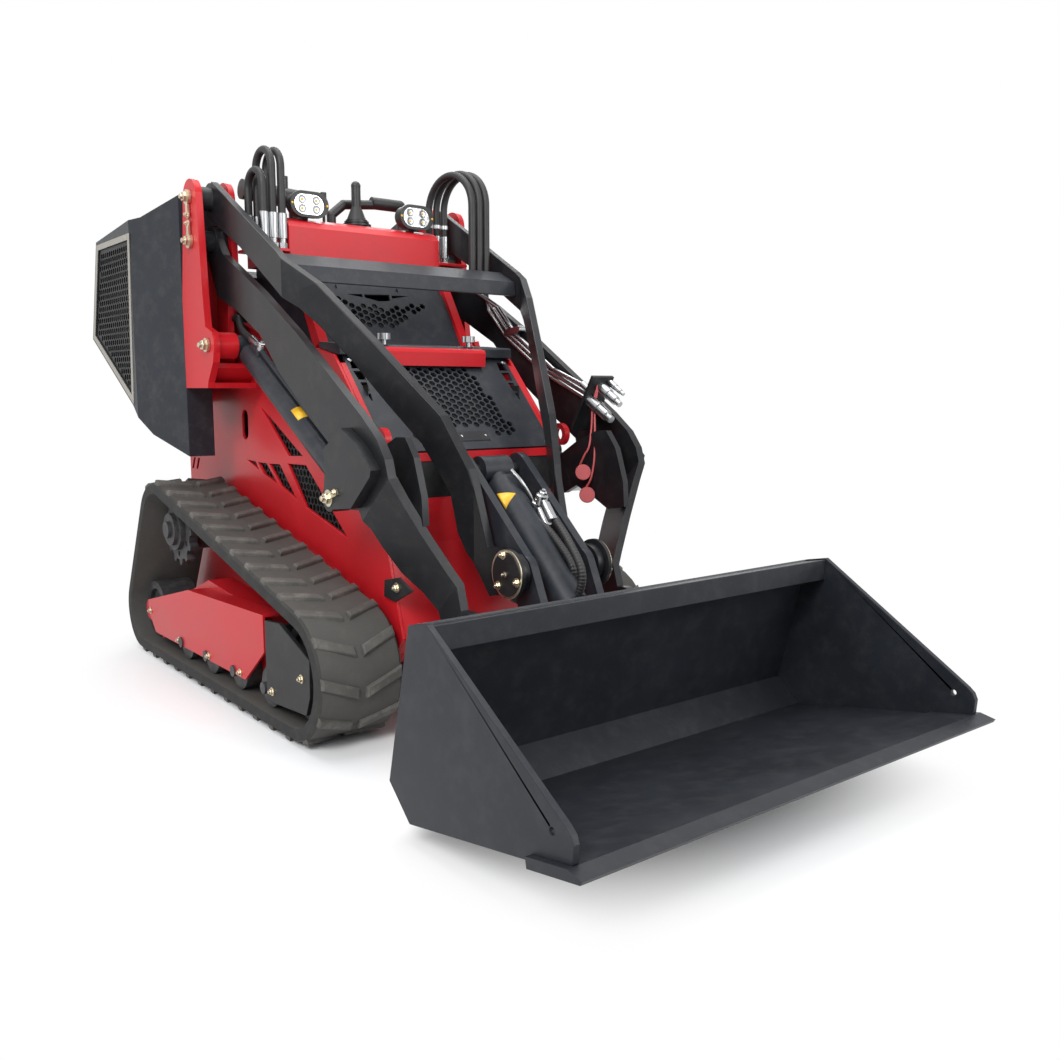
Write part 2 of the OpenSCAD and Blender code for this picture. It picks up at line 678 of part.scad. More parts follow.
// Towers
inner_y = body_half + 48;
lug_y = body_half + 8;
p1 = [pivot_x, pivot_z];
p2 = [pivot_x, pivot_z - link_drop];
p3 = [-391, 893];
tower_foot = 784;
module tower() {
    color(red) difference() {
        union() {
            slab(tower_out - tower_t, tower_out) {
                translate(p1) circle(46, $fn = 64);
                polygon([[-525, pivot_z + 4], [-433, pivot_z + 4], [-414, 1010], [-405, 940], [-361, 925],
                    [-352, 893], [-361, 850], [-400, 800], [-405, tower_foot], [-561, tower_foot], [-561, 1020]]);
                translate(p3) circle(40, $fn = 64);
            }
            slab(inner_y, inner_y + inner_t) {
                translate(p1) circle(46, $fn = 64);
                polygon([[-525, pivot_z + 4], [-433, pivot_z + 4], [-425, 1060], [-470, 1000], [-480, tower_foot],
                    [-561, tower_foot], [-561, 1020]]);
            }
            // rear web between the plates
            slab(lug_y, tower_out - tower_t) polygon([[-561, tower_foot], [-561, 1020], [-548, 1120], [-534, 1120],
                [-547, 1020], [-547, tower_foot]]);
            // foot and inner lug of the cylinder pin
            slab(panel_out, tower_out - tower_t) polygon([[-561, tower_foot], [-405, tower_foot], [-405, tower_foot + 14],
                [-561, tower_foot + 14]]);
            slab(panel_out, lug_y + inner_t) {
                polygon([[-547, tower_foot], [-405, tower_foot], [-361, 870], [-391, 933], [-480, 960], [-547, 960]]);
                translate(p3) circle(40, $fn = 64);
            }
            rod_y(p3[0], p3[1], 34, cyl_y + 28, tower_out - tower_t);
            // slanted gusset from the foot up to the cylinder pin
            slab(lug_y + inner_t, tower_out - tower_t)
                polygon([[-470, tower_foot + 14], [-470, tower_foot], [-452, tower_foot], [-392, 836], [-392, 848]]);
        }
        for (p = [p1, p2]) rod_y(p[0], p[1], pin_r + gap, inner_y - 1, tower_out + 1);
        rod_y(p3[0], p3[1], pin_r + gap, panel_out + 4, tower_out + 1);
    }
}
module towers() {
    both() tower();
}
module tower_pins() {
    color(zinc) both() {
        for (p = [p1, p2]) {
            rod_y(p[0], p[1], pin_r, inner_y - 4, tower_out + 1);
            rod_y(p[0], p[1], pin_r + 4, tower_out + 1, tower_out + 9);
        }
        rod_y(p3[0], p3[1], pin_r, panel_out + 6, tower_out + 1);
        rod_y(p3[0], p3[1], pin_r + 3, tower_out + 1, tower_out + 8);
    }
}

// Loader linkage: two parallel arms between the towers and the hitch carrier
d1 = [hitch_x, hitch_z];
d2 = [hitch_x, hitch_z - link_drop];
cyl_y = body_half + 55;
ear = [201, 546];
cheek_in = cyl_y - 41;
cheek_t = 16;
arm_nose = 212;
lift_path = [[-600, arm_in], [283, arm_in], [470, arm_nose], [640, arm_nose]];
lift_outline = [[-470, 1205], [-400, 1124], [-179, 1016], [10, 911], [280, 745], [344, 649], [351, 605], [378, 538],
    [469, 400], [535, 300], [500, 245], [462, 262], [443, 292], [412, 354], [361, 396], [293, 503], [286, 525],
    [215, 520], [175, 548], [185, 611], [175, 654], [80, 712], [-85, 820], [-188, 913], [-325, 978], [-448, 1021],
    [-515, 1140]];
module lift_arm() {
    color(black) difference() {
        union() {
            bent_plate(lift_path, arm_t, 1500) {
                polygon(lift_outline);
                translate(p2) circle(42, $fn = 64);
                translate(d2) circle(42, $fn = 64);
                translate(ear) circle(30, $fn = 48);
            }
            rod_y(p2[0], p2[1], 30, inner_y + inner_t + 1, tower_out - tower_t - 1);
            // inner cheek of the cylinder's clevis and the block between the cheeks
            slab(cheek_in, cheek_in + cheek_t) {
                polygon([[175, 548], [185, 611], [250, 660], [330, 640], [345, 560], [293, 503], [215, 520]]);
                translate(ear) circle(30, $fn = 48);
            }
            slab(cheek_in, arm_in) polygon([[255, 560], [275, 640], [290, 640], [282, 560]]);
        }
        for (p = [p2, d2, ear]) rod_y(p[0], p[1], pin_r + gap, 200, tower_out);
    }
}
module lower_arms() {
    both() lift_arm();
}
// Bracket across the left arm's slope that holds the quick couplers for attachments
slope = [0.857, -0.515];
across = [0.515, 0.857];
bracket_at = [240, 690];
bracket_t = 8;
module coupler_bracket() {
    color(black) slab(arm_in - 70, arm_in) polygon([bracket_at - 10 * across, bracket_at + 145 * across,
        bracket_at + 145 * across + bracket_t * slope, bracket_at - 10 * across + bracket_t * slope]);
}
// Each coupler: its height up the bracket, its distance in from the arm, its radius and its length
coupler_list = [[80, 50, 17, 92], [118, 34, 14, 84], [132, 10, 8, 60]];
module couplers() {
    color(steel) for (k = coupler_list) {
        at = bracket_at + k[0] * across + (bracket_t + 0.1) * slope;
        rod_xz(at, at + 0.45 * k[3] * slope, k[2], arm_in - k[1]);
        rod_xz(at, at + 0.8 * k[3] * slope, 0.8 * k[2], arm_in - k[1]);
        rod_xz(at, at + k[3] * slope, 0.55 * k[2], arm_in - k[1]);
    }
}
// Three bent steel pipes along the left arm, from the hoses' ends to the bracket, held by a clamp block
pipe_r = 5.5;
pipe_top = plate_z - 70;
pipe_y = arm_in - 14;
module arm_pipes() {
    color(steel) {
        for (i = [0 : 2]) {
            top = arm_loops[i][1];
            last = bracket_at + (58 + 24 * i) * across;
            tube([[top[0], top[1], pipe_top], [-190 + 22 * i, pipe_y, pipe_top - 56 + 3 * i], [-105 + 22 * i, pipe_y, pipe_top - 134 + 2 * i],
                [60 + 22 * i, pipe_y, 826 + 3 * i], [last[0] - 14, pipe_y - 24 * i, last[1] + 8.4]], pipe_r);
            rod_xz(last - 24 * slope, last - 0.1 * slope, 9, pipe_y - 24 * i);
            translate([top[0], top[1], pipe_top - 8]) cylinder(r = 9, h = 16, $fn = 32);
            translate([top[0], top[1], pipe_top + 8]) cylinder(r = crimp_r, h = 32, $fn = 32);
        }
        slab(pipe_y - 8, arm_in) strip([-98, 936], [-46, 944], 18);
    }
}
upper_path = [[-600, arm_in], [-62, arm_in], [372, 108], [440, 96], [640, 96]];
upper_outline = [[-462, 1315], [-354, 1254], [-86, 1102], [26, 1022], [157, 887], [309, 723], [367, 607], [396, 515],
    [419, 440], [499, 433], [540, 391], [499, 348], [424, 330], [360, 423], [342, 467], [327, 554], [265, 660],
    [186, 750], [106, 847], [30, 927], [-16, 967], [-129, 1035], [-289, 1130], [-505, 1234]];
module upper_arm() {
    color(black) difference() {
        union() {
            bent_plate(upper_path, arm_t, 1500) {
                polygon(upper_outline);
                translate(p1) circle(42, $fn = 64);
                translate(d1) circle(44, $fn = 64);
            }
            rod_y(p1[0], p1[1], 30, inner_y + inner_t + 1, tower_out - tower_t - 1);
        }
        for (p = [p1, d1]) rod_y(p[0], p[1], pin_r + gap, 60, tower_out);
    }
}
module upper_arms() {
    both() upper_arm();
}
module crossbar() {
    color(dark) slab(-arm_in, arm_in) polygon([[-150, 1106], [-86, 1074], [-80, 1036], [-92, 1036], [-98, 1064],
        [-150, 1090]]);
}

// Hitch carrier, kept level by the two arms
b0 = d1 + [101, -221];
tie0 = b0 + [-10, -62];
t0 = d1 + [-226, 202];
carrier_in = 70;
carrier_t = 20;
module hitch_carrier() {
    color(dark) rod_y(tie0[0], tie0[1], 20, -carrier_in, carrier_in);
    color(dark) both() difference() {
        union() {
            slab(carrier_in, carrier_in + carrier_t) {
                strip(t0, d1, 76);
                strip(d1, b0, 80);
                strip(b0, tie0, 60);
            }
            slab(arm_nose - 24, arm_nose - 6) strip(d2, b0, 68);
            rod_y(b0[0], b0[1], 34, 50, arm_nose - 6);
        }
        rod_y(t0[0], t0[1], pin_r + gap, 0, 120);
        rod_y(d1[0], d1[1], pin_r + gap, 0, 120);
        rod_y(d2[0], d2[1], pin_r + gap, 180, 230);
        rod_y(b0[0], b0[1], pin_r + gap, 180, 230);
    }
}
module hitch_pins() {
    color(black) both() {
        rod_y(d1[0], d1[1], pin_r, carrier_in, 96 + arm_t + 1);
        rod_y(d1[0], d1[1], 54, 96 + arm_t + 1, 96 + arm_t + 10);
        rod_y(d2[0], d2[1], pin_r, arm_nose - 24, arm_nose + 24);
        rod_y(b0[0], b0[1], pin_r, arm_nose - 30, arm_nose + 24);
    }
    color(zinc) rod_y(t0[0], t0[1], pin_r, -carrier_in - carrier_t - 2, carrier_in + carrier_t + 2);
}

// Cylinders: a barrel with its eye and a rod with its eye
module barrel(a, b, y, r, rod_r, start, length, eye_r, eye_w) {
    dir = (b - a) / norm(b - a);
    difference() {
        union() {
            rod_xz(a + dir * start, a + dir * length, r, y);
            rod_y(a[0], a[1], eye_r, y - eye_w / 2, y + eye_w / 2);
            rod_xz(a + dir * (eye_r - 8), a + dir * (start + 4), r * 0.6, y);
        }
        rod_xz(a + dir * (start + 30), a + dir * (length + 1), rod_r + gap, y);
        rod_y(a[0], a[1], pin_r + gap, y - 100, y + 100);
    }
}
module piston_rod(a, b, y, r, start, eye_r, eye_w) {
    dir = (b - a) / norm(b - a);
    difference() {
        union() {
            rod_xz(a + dir * start, b - dir * (eye_r - 6), r, y);
            rod_y(b[0], b[1], eye_r, y - eye_w / 2, y + eye_w / 2);
        }
        rod_y(b[0], b[1], pin_r + gap, y - 100, y + 100);
    }
}
lift_dir = (ear - p3) / norm(ear - p3);
lift_up = [-lift_dir[1], lift_dir[0]];
lift_len = 600;
module lift_barrels() {
    color(dark) both() difference() {
        union() {
            barrel(p3, ear, cyl_y, lift_r, lift_rod_r, 46, lift_len, 28, 50);
            // port blocks and the oil tube between them
            for (d = [70, lift_len - 50])
                slab(cyl_y - 14, cyl_y + 14) strip(p3 + lift_dir * d + lift_up * 22, p3 + lift_dir * (d + 24) + lift_up * 22, 36);
            rod_xz(p3 + lift_dir * 80 + lift_up * 40, p3 + lift_dir * (lift_len - 34) + lift_up * 40, 7, cyl_y);
        }
        rod_xz(p3 + lift_dir * 76, p3 + lift_dir * (lift_len + 1), lift_rod_r + gap, cyl_y);
    }
}
module lift_rods() {
    color(steel) both() piston_rod(p3, ear, cyl_y, lift_rod_r, 100, 27, 46);
}
r0 = b0 + [76, 36];
module tilt_barrel() {
    color(dark) barrel(t0, r0, 0, tilt_r, tilt_rod_r, 48, 400, 34, 80);
}
module tilt_rod() {
    color(steel) piston_rod(t0, r0, 0, tilt_rod_r, 125, 26, 48);
}

// Bucket
bucket_half = bucket_w / 2;
edge_over = 12;
side_out = bucket_half - edge_over;
shell_in = side_out - bucket_side_t;
heel = b0 + [167, -130];
rear_low = b0 + [101, -72];
top_rear = b0 + [173, 221];
tip = b0 + [630, -46];
floor_dir = (tip - heel) / norm(tip - heel);
floor_up = [-floor_dir[1], floor_dir[0]];
// A point s along the bucket's floor and n above it
function on_floor(s, n) = heel + floor_dir * s + floor_up * n;
edge_at = 345;
edge_up = 12;
floor_end = on_floor(edge_at - 0.1, 0);
module bucket_shell() {
    color(dark) slab(-shell_in, shell_in) polygon([top_rear, rear_low, heel, floor_end,
        floor_end + floor_up * bucket_t, heel + [3, 9], rear_low + [9, 3], top_rear + [8, -2]]);
}
module bucket_sides() {
    color(dark) both() slab(shell_in, side_out) difference() {
        polygon([top_rear, b0 + [230, 232], b0 + [580, 13], b0 + [592, 3], b0 + [598, -10], on_floor(438, edge_up + 0.1),
            on_floor(edge_at - 0.1, edge_up + 0.1), floor_end, heel, rear_low]);
        translate(b0 + [551, -5]) circle(6, $fn = 24);
    }
}
// Bar across the mouth of the bucket, its front bevelled to the tip
module cutting_edge() {
    color(dark) slab(-bucket_half, bucket_half) polygon([on_floor(edge_at, -6), on_floor(edge_at, edge_up),
        on_floor(440, edge_up), tip, on_floor(465, -6)]);
}
back_in = top_rear + [8, -2] + (rear_low + [9, 3] - top_rear - [8, -2]) * 0.13;
module bucket_tube() {
    color(dark) slab(-shell_in, shell_in) polygon([top_rear + [8, -2], top_rear + [58, 8], top_rear + [58, -38],
        back_in]);
}
back_dir = (top_rear - rear_low) / norm(top_rear - rear_low);
back_out = [-back_dir[1], back_dir[0]];
plate_t = 14;
module bucket_hitch() {
    a = rear_low + back_dir * 6 + back_out * 0.1;
    b = rear_low + back_dir * 280 + back_out * 0.1;
    color(dark) difference() {
        union() {
            slab(-250, 250) polygon([a, b, b + back_out * plate_t, a + back_out * plate_t]);
            both() slab(arm_nose - 1, arm_nose + 17) {
                hull() {
                    translate(b0) circle(36, $fn = 48);
                    translate(a + back_dir * 20) circle(6, $fn = 24);
                    translate(a + back_dir * 160) circle(6, $fn = 24);
                }
            }
            both() slab(26, 44) {
                hull() {
                    translate(r0) circle(24, $fn = 48);
                    translate(a + back_dir * 70) circle(4, $fn = 24);
                    translate(a + back_dir * 160) circle(4, $fn = 24);
                }
            }
        }
        slab(-300, 300) polygon([a, b, b - back_out * 40, a - back_out * 40]);
        rod_y(b0[0], b0[1], pin_r + gap, -300, 300);
        rod_y(r0[0], r0[1], pin_r + gap, -60, 60);
    }
}
module bucket_pins() {
    color(zinc) both() rod_y(r0[0], r0[1], pin_r, 25, 48);
}

tub();
side_panels();
side_screens();
front_panel();
belly_front();
hood();
hood_frame();
hood_beam();
red_bar();
clamp_knobs();
upper_grille();
grille_posts();
console();
console_box();
work_lamps();
lamp_lenses();
control_levers();
handlebar();
towers();
tower_pins();
track_frames();
track_r();
track_l();
sprockets();
front_idlers();
rear_idlers();
rollers();
yoke_plates();
rear_boxes();
rear_grilles();
rear_cover();
platform();
engine_block();
tie_rings();
side_hoses();
hose_ends();
arm_hoses();
lower_arms();
coupler_bracket();
couplers();
arm_pipes();
upper_arms();
crossbar();
hitch_carrier();
hitch_pins();
tilt_barrel();
tilt_rod();
lift_barrels();
lift_rods();
bucket_hitch();
bucket_pins();
bucket_shell();
bucket_sides();
cutting_edge();
bucket_tube();
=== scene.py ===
"""Dresses the tracked mini loader: camera, studio, materials, bolts, hoses and small trim."""
import math

import bmesh
import bpy
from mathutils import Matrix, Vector, geometry


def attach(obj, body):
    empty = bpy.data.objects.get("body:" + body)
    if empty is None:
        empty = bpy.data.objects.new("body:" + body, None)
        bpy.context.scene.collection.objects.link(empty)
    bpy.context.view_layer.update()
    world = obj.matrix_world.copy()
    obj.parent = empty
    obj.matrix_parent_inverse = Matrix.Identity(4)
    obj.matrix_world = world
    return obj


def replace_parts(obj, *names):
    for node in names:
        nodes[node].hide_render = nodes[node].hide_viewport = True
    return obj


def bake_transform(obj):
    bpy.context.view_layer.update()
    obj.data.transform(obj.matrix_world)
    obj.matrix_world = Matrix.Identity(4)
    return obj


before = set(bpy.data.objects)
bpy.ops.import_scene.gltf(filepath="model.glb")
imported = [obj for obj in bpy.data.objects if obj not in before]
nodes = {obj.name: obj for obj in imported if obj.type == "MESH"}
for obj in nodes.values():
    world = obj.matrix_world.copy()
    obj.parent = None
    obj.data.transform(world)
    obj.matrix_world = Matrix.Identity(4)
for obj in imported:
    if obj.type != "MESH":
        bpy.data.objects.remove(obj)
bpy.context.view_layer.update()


def add_object(name, data):
    made = bpy.data.objects.new(name, data)
    bpy.context.scene.collection.objects.link(made)
    return made


def looking(way):
    """The turn of a camera or lamp that looks along a direction."""
    return way.to_track_quat("-Z", "Y").to_euler()


# Camera: where the photograph was taken from
PHOTO_SIDE = 1060.0
FOCAL_PX = 1013.0
SENSOR_MM = 36.0
AZIMUTH = math.radians(51.8)
PITCH = math.radians(7.87)
CAMERA_AT = Vector((2.194, -1.398, 0.779))


def add_camera():
    data = bpy.data.cameras.new("camera")
    data.sensor_width = SENSOR_MM
    data.lens = SENSOR_MM * FOCAL_PX / PHOTO_SIDE
    camera = add_object("camera", data)
    level = math.cos(PITCH)
    camera.location = CAMERA_AT
    camera.rotation_euler = looking(
        Vector((-math.sin(AZIMUTH) * level, math.cos(AZIMUTH) * level, -math.sin(PITCH))))
    bpy.context.scene.camera = camera


add_camera()


# Studio, in metres and watts: white backdrop, pale floor and large soft lamps
WHITE = (1, 1, 1, 1)
FILL_COLOUR = (0.93, 0.96, 1.0, 1)
FILL_STRENGTH = 0.55
FLOOR_COLOUR = (0.9, 0.9, 0.9, 1)
FLOOR_HALF = 14.0
# The floor turns white round an oval: its half axes, and the shares of them between which it turns
OVAL = (1.35, 0.72)
FADE_START, FADE_END = 0.72, 1.2


def tree(material):
    """The emptied node tree of a material."""
    material.use_nodes = True
    material.node_tree.nodes.clear()
    return material.node_tree


def node(tr, kind, **values):
    """Adds a node. A value named in_... goes to the input of that name, any other to the node."""
    made = tr.nodes.new(kind)
    for key, value in values.items():
        if key.startswith("in_"):
            made.inputs[key[3:].replace("_", " ").title()].default_value = value
        else:
            setattr(made, key, value)
    return made


def white_for_camera(tr, plain, white, target):
    """White to the camera, to glossy and to transmission rays, and plain to the rest."""
    path = tr.nodes.new("ShaderNodeLightPath")
    most = path.outputs["Is Camera Ray"]
    for name in ("Is Glossy Ray", "Is Transmission Ray"):
        either = node(tr, "ShaderNodeMath", operation="MAXIMUM")
        tr.links.new(most, either.inputs[0])
        tr.links.new(path.outputs[name], either.inputs[1])
        most = either.outputs[0]
    mix = tr.nodes.new("ShaderNodeMixShader")
    tr.links.new(most, mix.inputs[0])
    tr.links.new(plain, mix.inputs[1])
    tr.links.new(white, mix.inputs[2])
    tr.links.new(mix.outputs[0], target)


def add_world():
    world = bpy.data.worlds.new("studio")
    bpy.context.scene.world = world
    world.use_nodes = True
    tr = world.node_tree
    tr.nodes.clear()
    out = tr.nodes.new("ShaderNodeOutputWorld")
    fill = node(tr, "ShaderNodeBackground", in_color=FILL_COLOUR, in_strength=FILL_STRENGTH)
    white = node(tr, "ShaderNodeBackground", in_color=WHITE, in_strength=1.0)
    white_for_camera(tr, fill.outputs[0], white.outputs[0], out.inputs["Surface"])


def add_lamp(name, place, aim, size, watts):
    data = bpy.data.lights.new(name, "AREA")
    data.shape = "RECTANGLE"
    data.size, data.size_y = size
    data.energy = watts
    lamp = add_object(name, data)
    lamp.location = place
    lamp.rotation_euler = looking(Vector(aim) - Vector(place))


def add_floor():
    """Pale floor that takes the machine's shadow, and is white to the camera further out."""
    mesh = bpy.data.meshes.new("floor")
    corners = [(x * FLOOR_HALF, y * FLOOR_HALF, 0) for x, y in ((-1, -1), (1, -1), (1, 1), (-1, 1))]
    mesh.from_pydata(corners, [], [(0, 1, 2, 3)])
    floor = add_object("floor", mesh)
    material = bpy.data.materials.new("floor")
    tr = tree(material)
    link = tr.links.new
    out = tr.nodes.new("ShaderNodeOutputMaterial")
    matt = node(tr, "ShaderNodeBsdfDiffuse", in_color=FLOOR_COLOUR)
    where = tr.nodes.new("ShaderNodeTexCoord")
    stretch = node(tr, "ShaderNodeVectorMath", operation="MULTIPLY")
    stretch.inputs[1].default_value = (1 / OVAL[0], 1 / OVAL[1], 0)
    away = node(tr, "ShaderNodeVectorMath", operation="LENGTH")
    fade = node(tr, "ShaderNodeMapRange", interpolation_type="SMOOTHSTEP",
                in_from_min=FADE_START, in_from_max=FADE_END)
    link(where.outputs["Object"], stretch.inputs[0])
    link(stretch.outputs["Vector"], away.inputs[0])
    link(away.outputs["Value"], fade.inputs["Value"])
    white = node(tr, "ShaderNodeEmission", in_color=WHITE, in_strength=1.0)
    far = tr.nodes.new("ShaderNodeMixShader")
    link(fade.outputs["Result"], far.inputs[0])
    link(matt.outputs[0], far.inputs[1])
    link(white.outputs[0], far.inputs[2])
    white_for_camera(tr, matt.outputs[0], far.outputs[0], out.inputs["Surface"])
    mesh.materials.append(material)


add_world()
add_floor()
add_lamp("key", (2.6, -3.4, 3.6), (0, 0, 0.6), (2.6, 2.0), 190)
add_lamp("front", (4.2, 1.6, 2.2), (0, 0, 0.5), (2.2, 2.0), 70)
add_lamp("top", (-0.4, 0.2, 4.4), (0, 0, 0.6), (3.4, 3.0), 110)
add_lamp("back", (-4.0, 2.4, 3.0), (0, 0, 0.7), (2.6, 2.0), 80)
bpy.context.scene.view_settings.view_transform = "Standard"


# Materials
COAT_ROUGH = 0.12
CLOUD_LOW, CLOUD_HIGH = 0.3, 0.72
SPECK_LOW, SPECK_HIGH = 0.48, 0.78
SIDE_LOW, SIDE_HIGH = 0.35, 0.75


def mapped(tr, value, **limits):
    """A value carried from one span to another."""
    made = node(tr, "ShaderNodeMapRange", **limits)
    tr.links.new(value, made.inputs["Value"])
    return made.outputs["Result"]


def laid_over(tr, tint, colour, share):
    """A colour laid over a tint by a share."""
    mix = node(tr, "ShaderNodeMix", data_type="RGBA", in_b=(*colour, 1))
    tr.links.new(share, mix.inputs["Factor"])
    tr.links.new(tint, mix.inputs["A"])
    return mix.outputs["Result"]


def paint(name, colour, rough, dust=(0.5, 0.46, 0.4), dust_share=0.1, metallic=0.0, coat=0.0, grain=900.0,
          bump=0.0004, vary=0.12, clouds=6.0, tread=None, shine=0.5):
    """Paint, metal or rubber: slow changes of colour and gloss, fine grain, specks of dust."""
    material = bpy.data.materials.new(name)
    tr = tree(material)
    link = tr.links.new
    out = tr.nodes.new("ShaderNodeOutputMaterial")
    shader = node(tr, "ShaderNodeBsdfPrincipled", in_metallic=metallic, in_coat_weight=coat,
                  in_coat_roughness=COAT_ROUGH)
    shader.inputs["Specular IOR Level"].default_value = shine
    link(shader.outputs[0], out.inputs["Surface"])
    where = tr.nodes.new("ShaderNodeTexCoord")
    slow = node(tr, "ShaderNodeTexNoise", in_scale=clouds, in_detail=5.0, in_roughness=0.6)
    fine = node(tr, "ShaderNodeTexNoise", in_scale=grain, in_detail=2.0)
    link(where.outputs["Object"], slow.inputs["Vector"])
    link(where.outputs["Object"], fine.inputs["Vector"])
    # colour
    ramp = tr.nodes.new("ShaderNodeValToRGB")
    low, high = ramp.color_ramp.elements
    low.position, high.position = CLOUD_LOW, CLOUD_HIGH
    low.color = (*[c * (1 - vary) for c in colour], 1)
    high.color = (*[min(1, c * (1 + vary)) for c in colour], 1)
    link(slow.outputs["Fac"], ramp.inputs["Fac"])
    tint = ramp.outputs["Color"]
    if tread:
        # faces that look sideways keep the colour, and the others take the tread's
        facing = tr.nodes.new("ShaderNodeSeparateXYZ")
        link(where.outputs["Normal"], facing.inputs[0])
        sideways = node(tr, "ShaderNodeMath", operation="ABSOLUTE")
        link(facing.outputs["Y"], sideways.inputs[0])
        share = mapped(tr, sideways.outputs[0], in_from_min=SIDE_LOW, in_from_max=SIDE_HIGH,
                       in_to_min=1.0, in_to_max=0.0)
        tint = laid_over(tr, tint, tread, share)
    if dust_share:
        specks = node(tr, "ShaderNodeTexNoise", in_scale=23.0, in_detail=8.0, in_roughness=0.72)
        link(where.outputs["Object"], specks.inputs["Vector"])
        share = mapped(tr, specks.outputs["Fac"], in_from_min=SPECK_LOW, in_from_max=SPECK_HIGH,
                       in_to_max=dust_share)
        tint = laid_over(tr, tint, dust, share)
    link(tint, shader.inputs["Base Color"])
    # gloss
    gloss = mapped(tr, slow.outputs["Fac"], in_to_min=max(0.03, rough - 0.09), in_to_max=rough + 0.12)
    link(gloss, shader.inputs["Roughness"])
    # grain
    relief = node(tr, "ShaderNodeBump", in_strength=0.35, in_distance=bump)
    link(fine.outputs["Fac"], relief.inputs["Height"])
    link(relief.outputs["Normal"], shader.inputs["Normal"])
    return material


MATERIALS = {
    "red": paint("red_paint", (0.50, 0.011, 0.017), 0.34, dust=(0.3, 0.12, 0.1), dust_share=0.03,
                 coat=0.06, vary=0.08, shine=0.26),
    "dark": paint("dark_paint", (0.019, 0.022, 0.028), 0.4, dust_share=0.05, coat=0.03, vary=0.16,
                  shine=0.28),
    "arm": paint("arm_paint", (0.009, 0.0095, 0.0115), 0.36, dust_share=0.03, coat=0.05, vary=0.2,
                 shine=0.28),
    "bucket": paint("bucket_paint", (0.014, 0.0162, 0.0208), 0.42, dust=(0.12, 0.12, 0.12),
                    dust_share=0.14, coat=0.04, vary=0.2, clouds=7.0, shine=0.28),
    "black": paint("black_paint", (0.010, 0.0105, 0.012), 0.45, dust_share=0.04, vary=0.2, shine=0.3),
    "rubber": paint("track_rubber", (0.014, 0.0138, 0.0135), 0.8, dust=(0.2, 0.18, 0.15),
                    dust_share=0.14, vary=0.3, grain=420.0, bump=0.0012, clouds=9.0,
                    tread=(0.066, 0.063, 0.058)),
    "chrome": paint("chrome_steel", (0.42, 0.43, 0.44), 0.26, dust_share=0.04, metallic=1.0,
                    vary=0.08, bump=0.0001),
    "zinc": paint("zinc_steel", (0.60, 0.53, 0.40), 0.32, dust_share=0.05, metallic=1.0, vary=0.2,
                  clouds=40.0, bump=0.0002),
    "cast": paint("cast_metal", (0.03, 0.031, 0.034), 0.5, dust=(0.4, 0.37, 0.31), dust_share=0.25,
                  vary=0.25, bump=0.001),
    "alloy": paint("engine_alloy", (0.3, 0.3, 0.31), 0.5, metallic=0.6, dust_share=0.2, bump=0.0008),
    "plastic": paint("black_plastic", (0.014, 0.014, 0.015), 0.42, dust_share=0.02, vary=0.15,
                     bump=0.0006),
    "hose": paint("hose_rubber", (0.014, 0.014, 0.015), 0.5, dust_share=0.03, vary=0.2, bump=0.0006,
                  grain=500.0),
    # cleats: a lighter copy of the track's rubber as painted highlight, with real dust specks laid over it
    "cleat": paint("track_cleats", (0.085, 0.081, 0.074), 0.75, dust=(0.34, 0.31, 0.27),
                   dust_share=0.4, vary=0.25, grain=420.0, bump=0.001, clouds=12.0),
    "pale": paint("pale_paint", (0.30, 0.28, 0.24), 0.4, dust_share=0.04, vary=0.1),
    "yellow": paint("yellow_film", (0.85, 0.47, 0.02), 0.35, dust_share=0.04, vary=0.05, bump=0.0001),
    "cap": paint("cap_rubber", (0.5, 0.085, 0.09), 0.5, dust_share=0.03, vary=0.1),
    "silver": paint("silver_film", (0.6, 0.61, 0.62), 0.3, dust_share=0.03, vary=0.06, metallic=0.7,
                    bump=0.0001),
    "lens": paint("lamp_glass", (0.86, 0.88, 0.9), 0.08, dust_share=0.0, vary=0.2, clouds=120.0,
                  coat=1.0, metallic=0.55, grain=60.0, bump=0.0015),
}
DRESS = {
    "red": "tub side_panels belly_front hood_frame red_bar console towers track_frames grille_posts"
           " tie_rings",
    "dark": "hood hood_beam upper_grille console_box rear_boxes crossbar hitch_carrier tilt_barrel"
            " lift_barrels bucket_hitch platform",
    "bucket": "bucket_shell bucket_sides cutting_edge bucket_tube",
    "arm": "lower_arms upper_arms",
    "black": "front_panel coupler_bracket yoke_plates hitch_pins side_screens rear_grilles",
    "rubber": "track_r track_l",
    "chrome": "clamp_knobs lift_rods tilt_rod arm_pipes couplers hose_ends",
    "zinc": "tower_pins bucket_pins",
    "cast": "sprockets front_idlers rear_idlers rollers",
    "alloy": "engine_block",
    "plastic": "work_lamps control_levers rear_cover handlebar",
    "hose": "side_hoses arm_hoses",
    "lens": "lamp_lenses",
}
for key, names in DRESS.items():
    for name in names.split():
        piece = nodes[name]
        piece.data.materials.clear()
        piece.data.materials.append(MATERIALS[key])


def round_edges(piece, width):
    """Rounded edges that catch the light."""
    bevel = piece.modifiers.new("edges", "BEVEL")
    bevel.width = width
    bevel.segments = 2
    bevel.limit_method = "ANGLE"
    return bevel


WELD_REACH = 0.00002
EDGE_ANGLE = math.radians(35)


def soften(names, width):
    """Welds and rounds the solids of the frame that are named."""
    for name in names.split():
        nodes[name].modifiers.new("weld", "WELD").merge_threshold = WELD_REACH
        round_edges(nodes[name], width).angle_limit = EDGE_ANGLE


soften("towers upper_arms crossbar hitch_carrier track_frames yoke_plates", 0.002)
soften("bucket_sides bucket_tube red_bar console rear_boxes side_panels hood_beam", 0.0015)


# Small pieces: sizes and places are in mm.
# Steps added to a point, widths of rounded edges and these three are in metres.
BLOCK_CUT = 0.001
RIDGE_PITCH = 0.007
FILM_THICK = 0.0004
WASHER_H = 2.2
SIDES = (-1, 1)
X_WAY, Z_WAY = (1, 0, 0), (0, 0, 1)

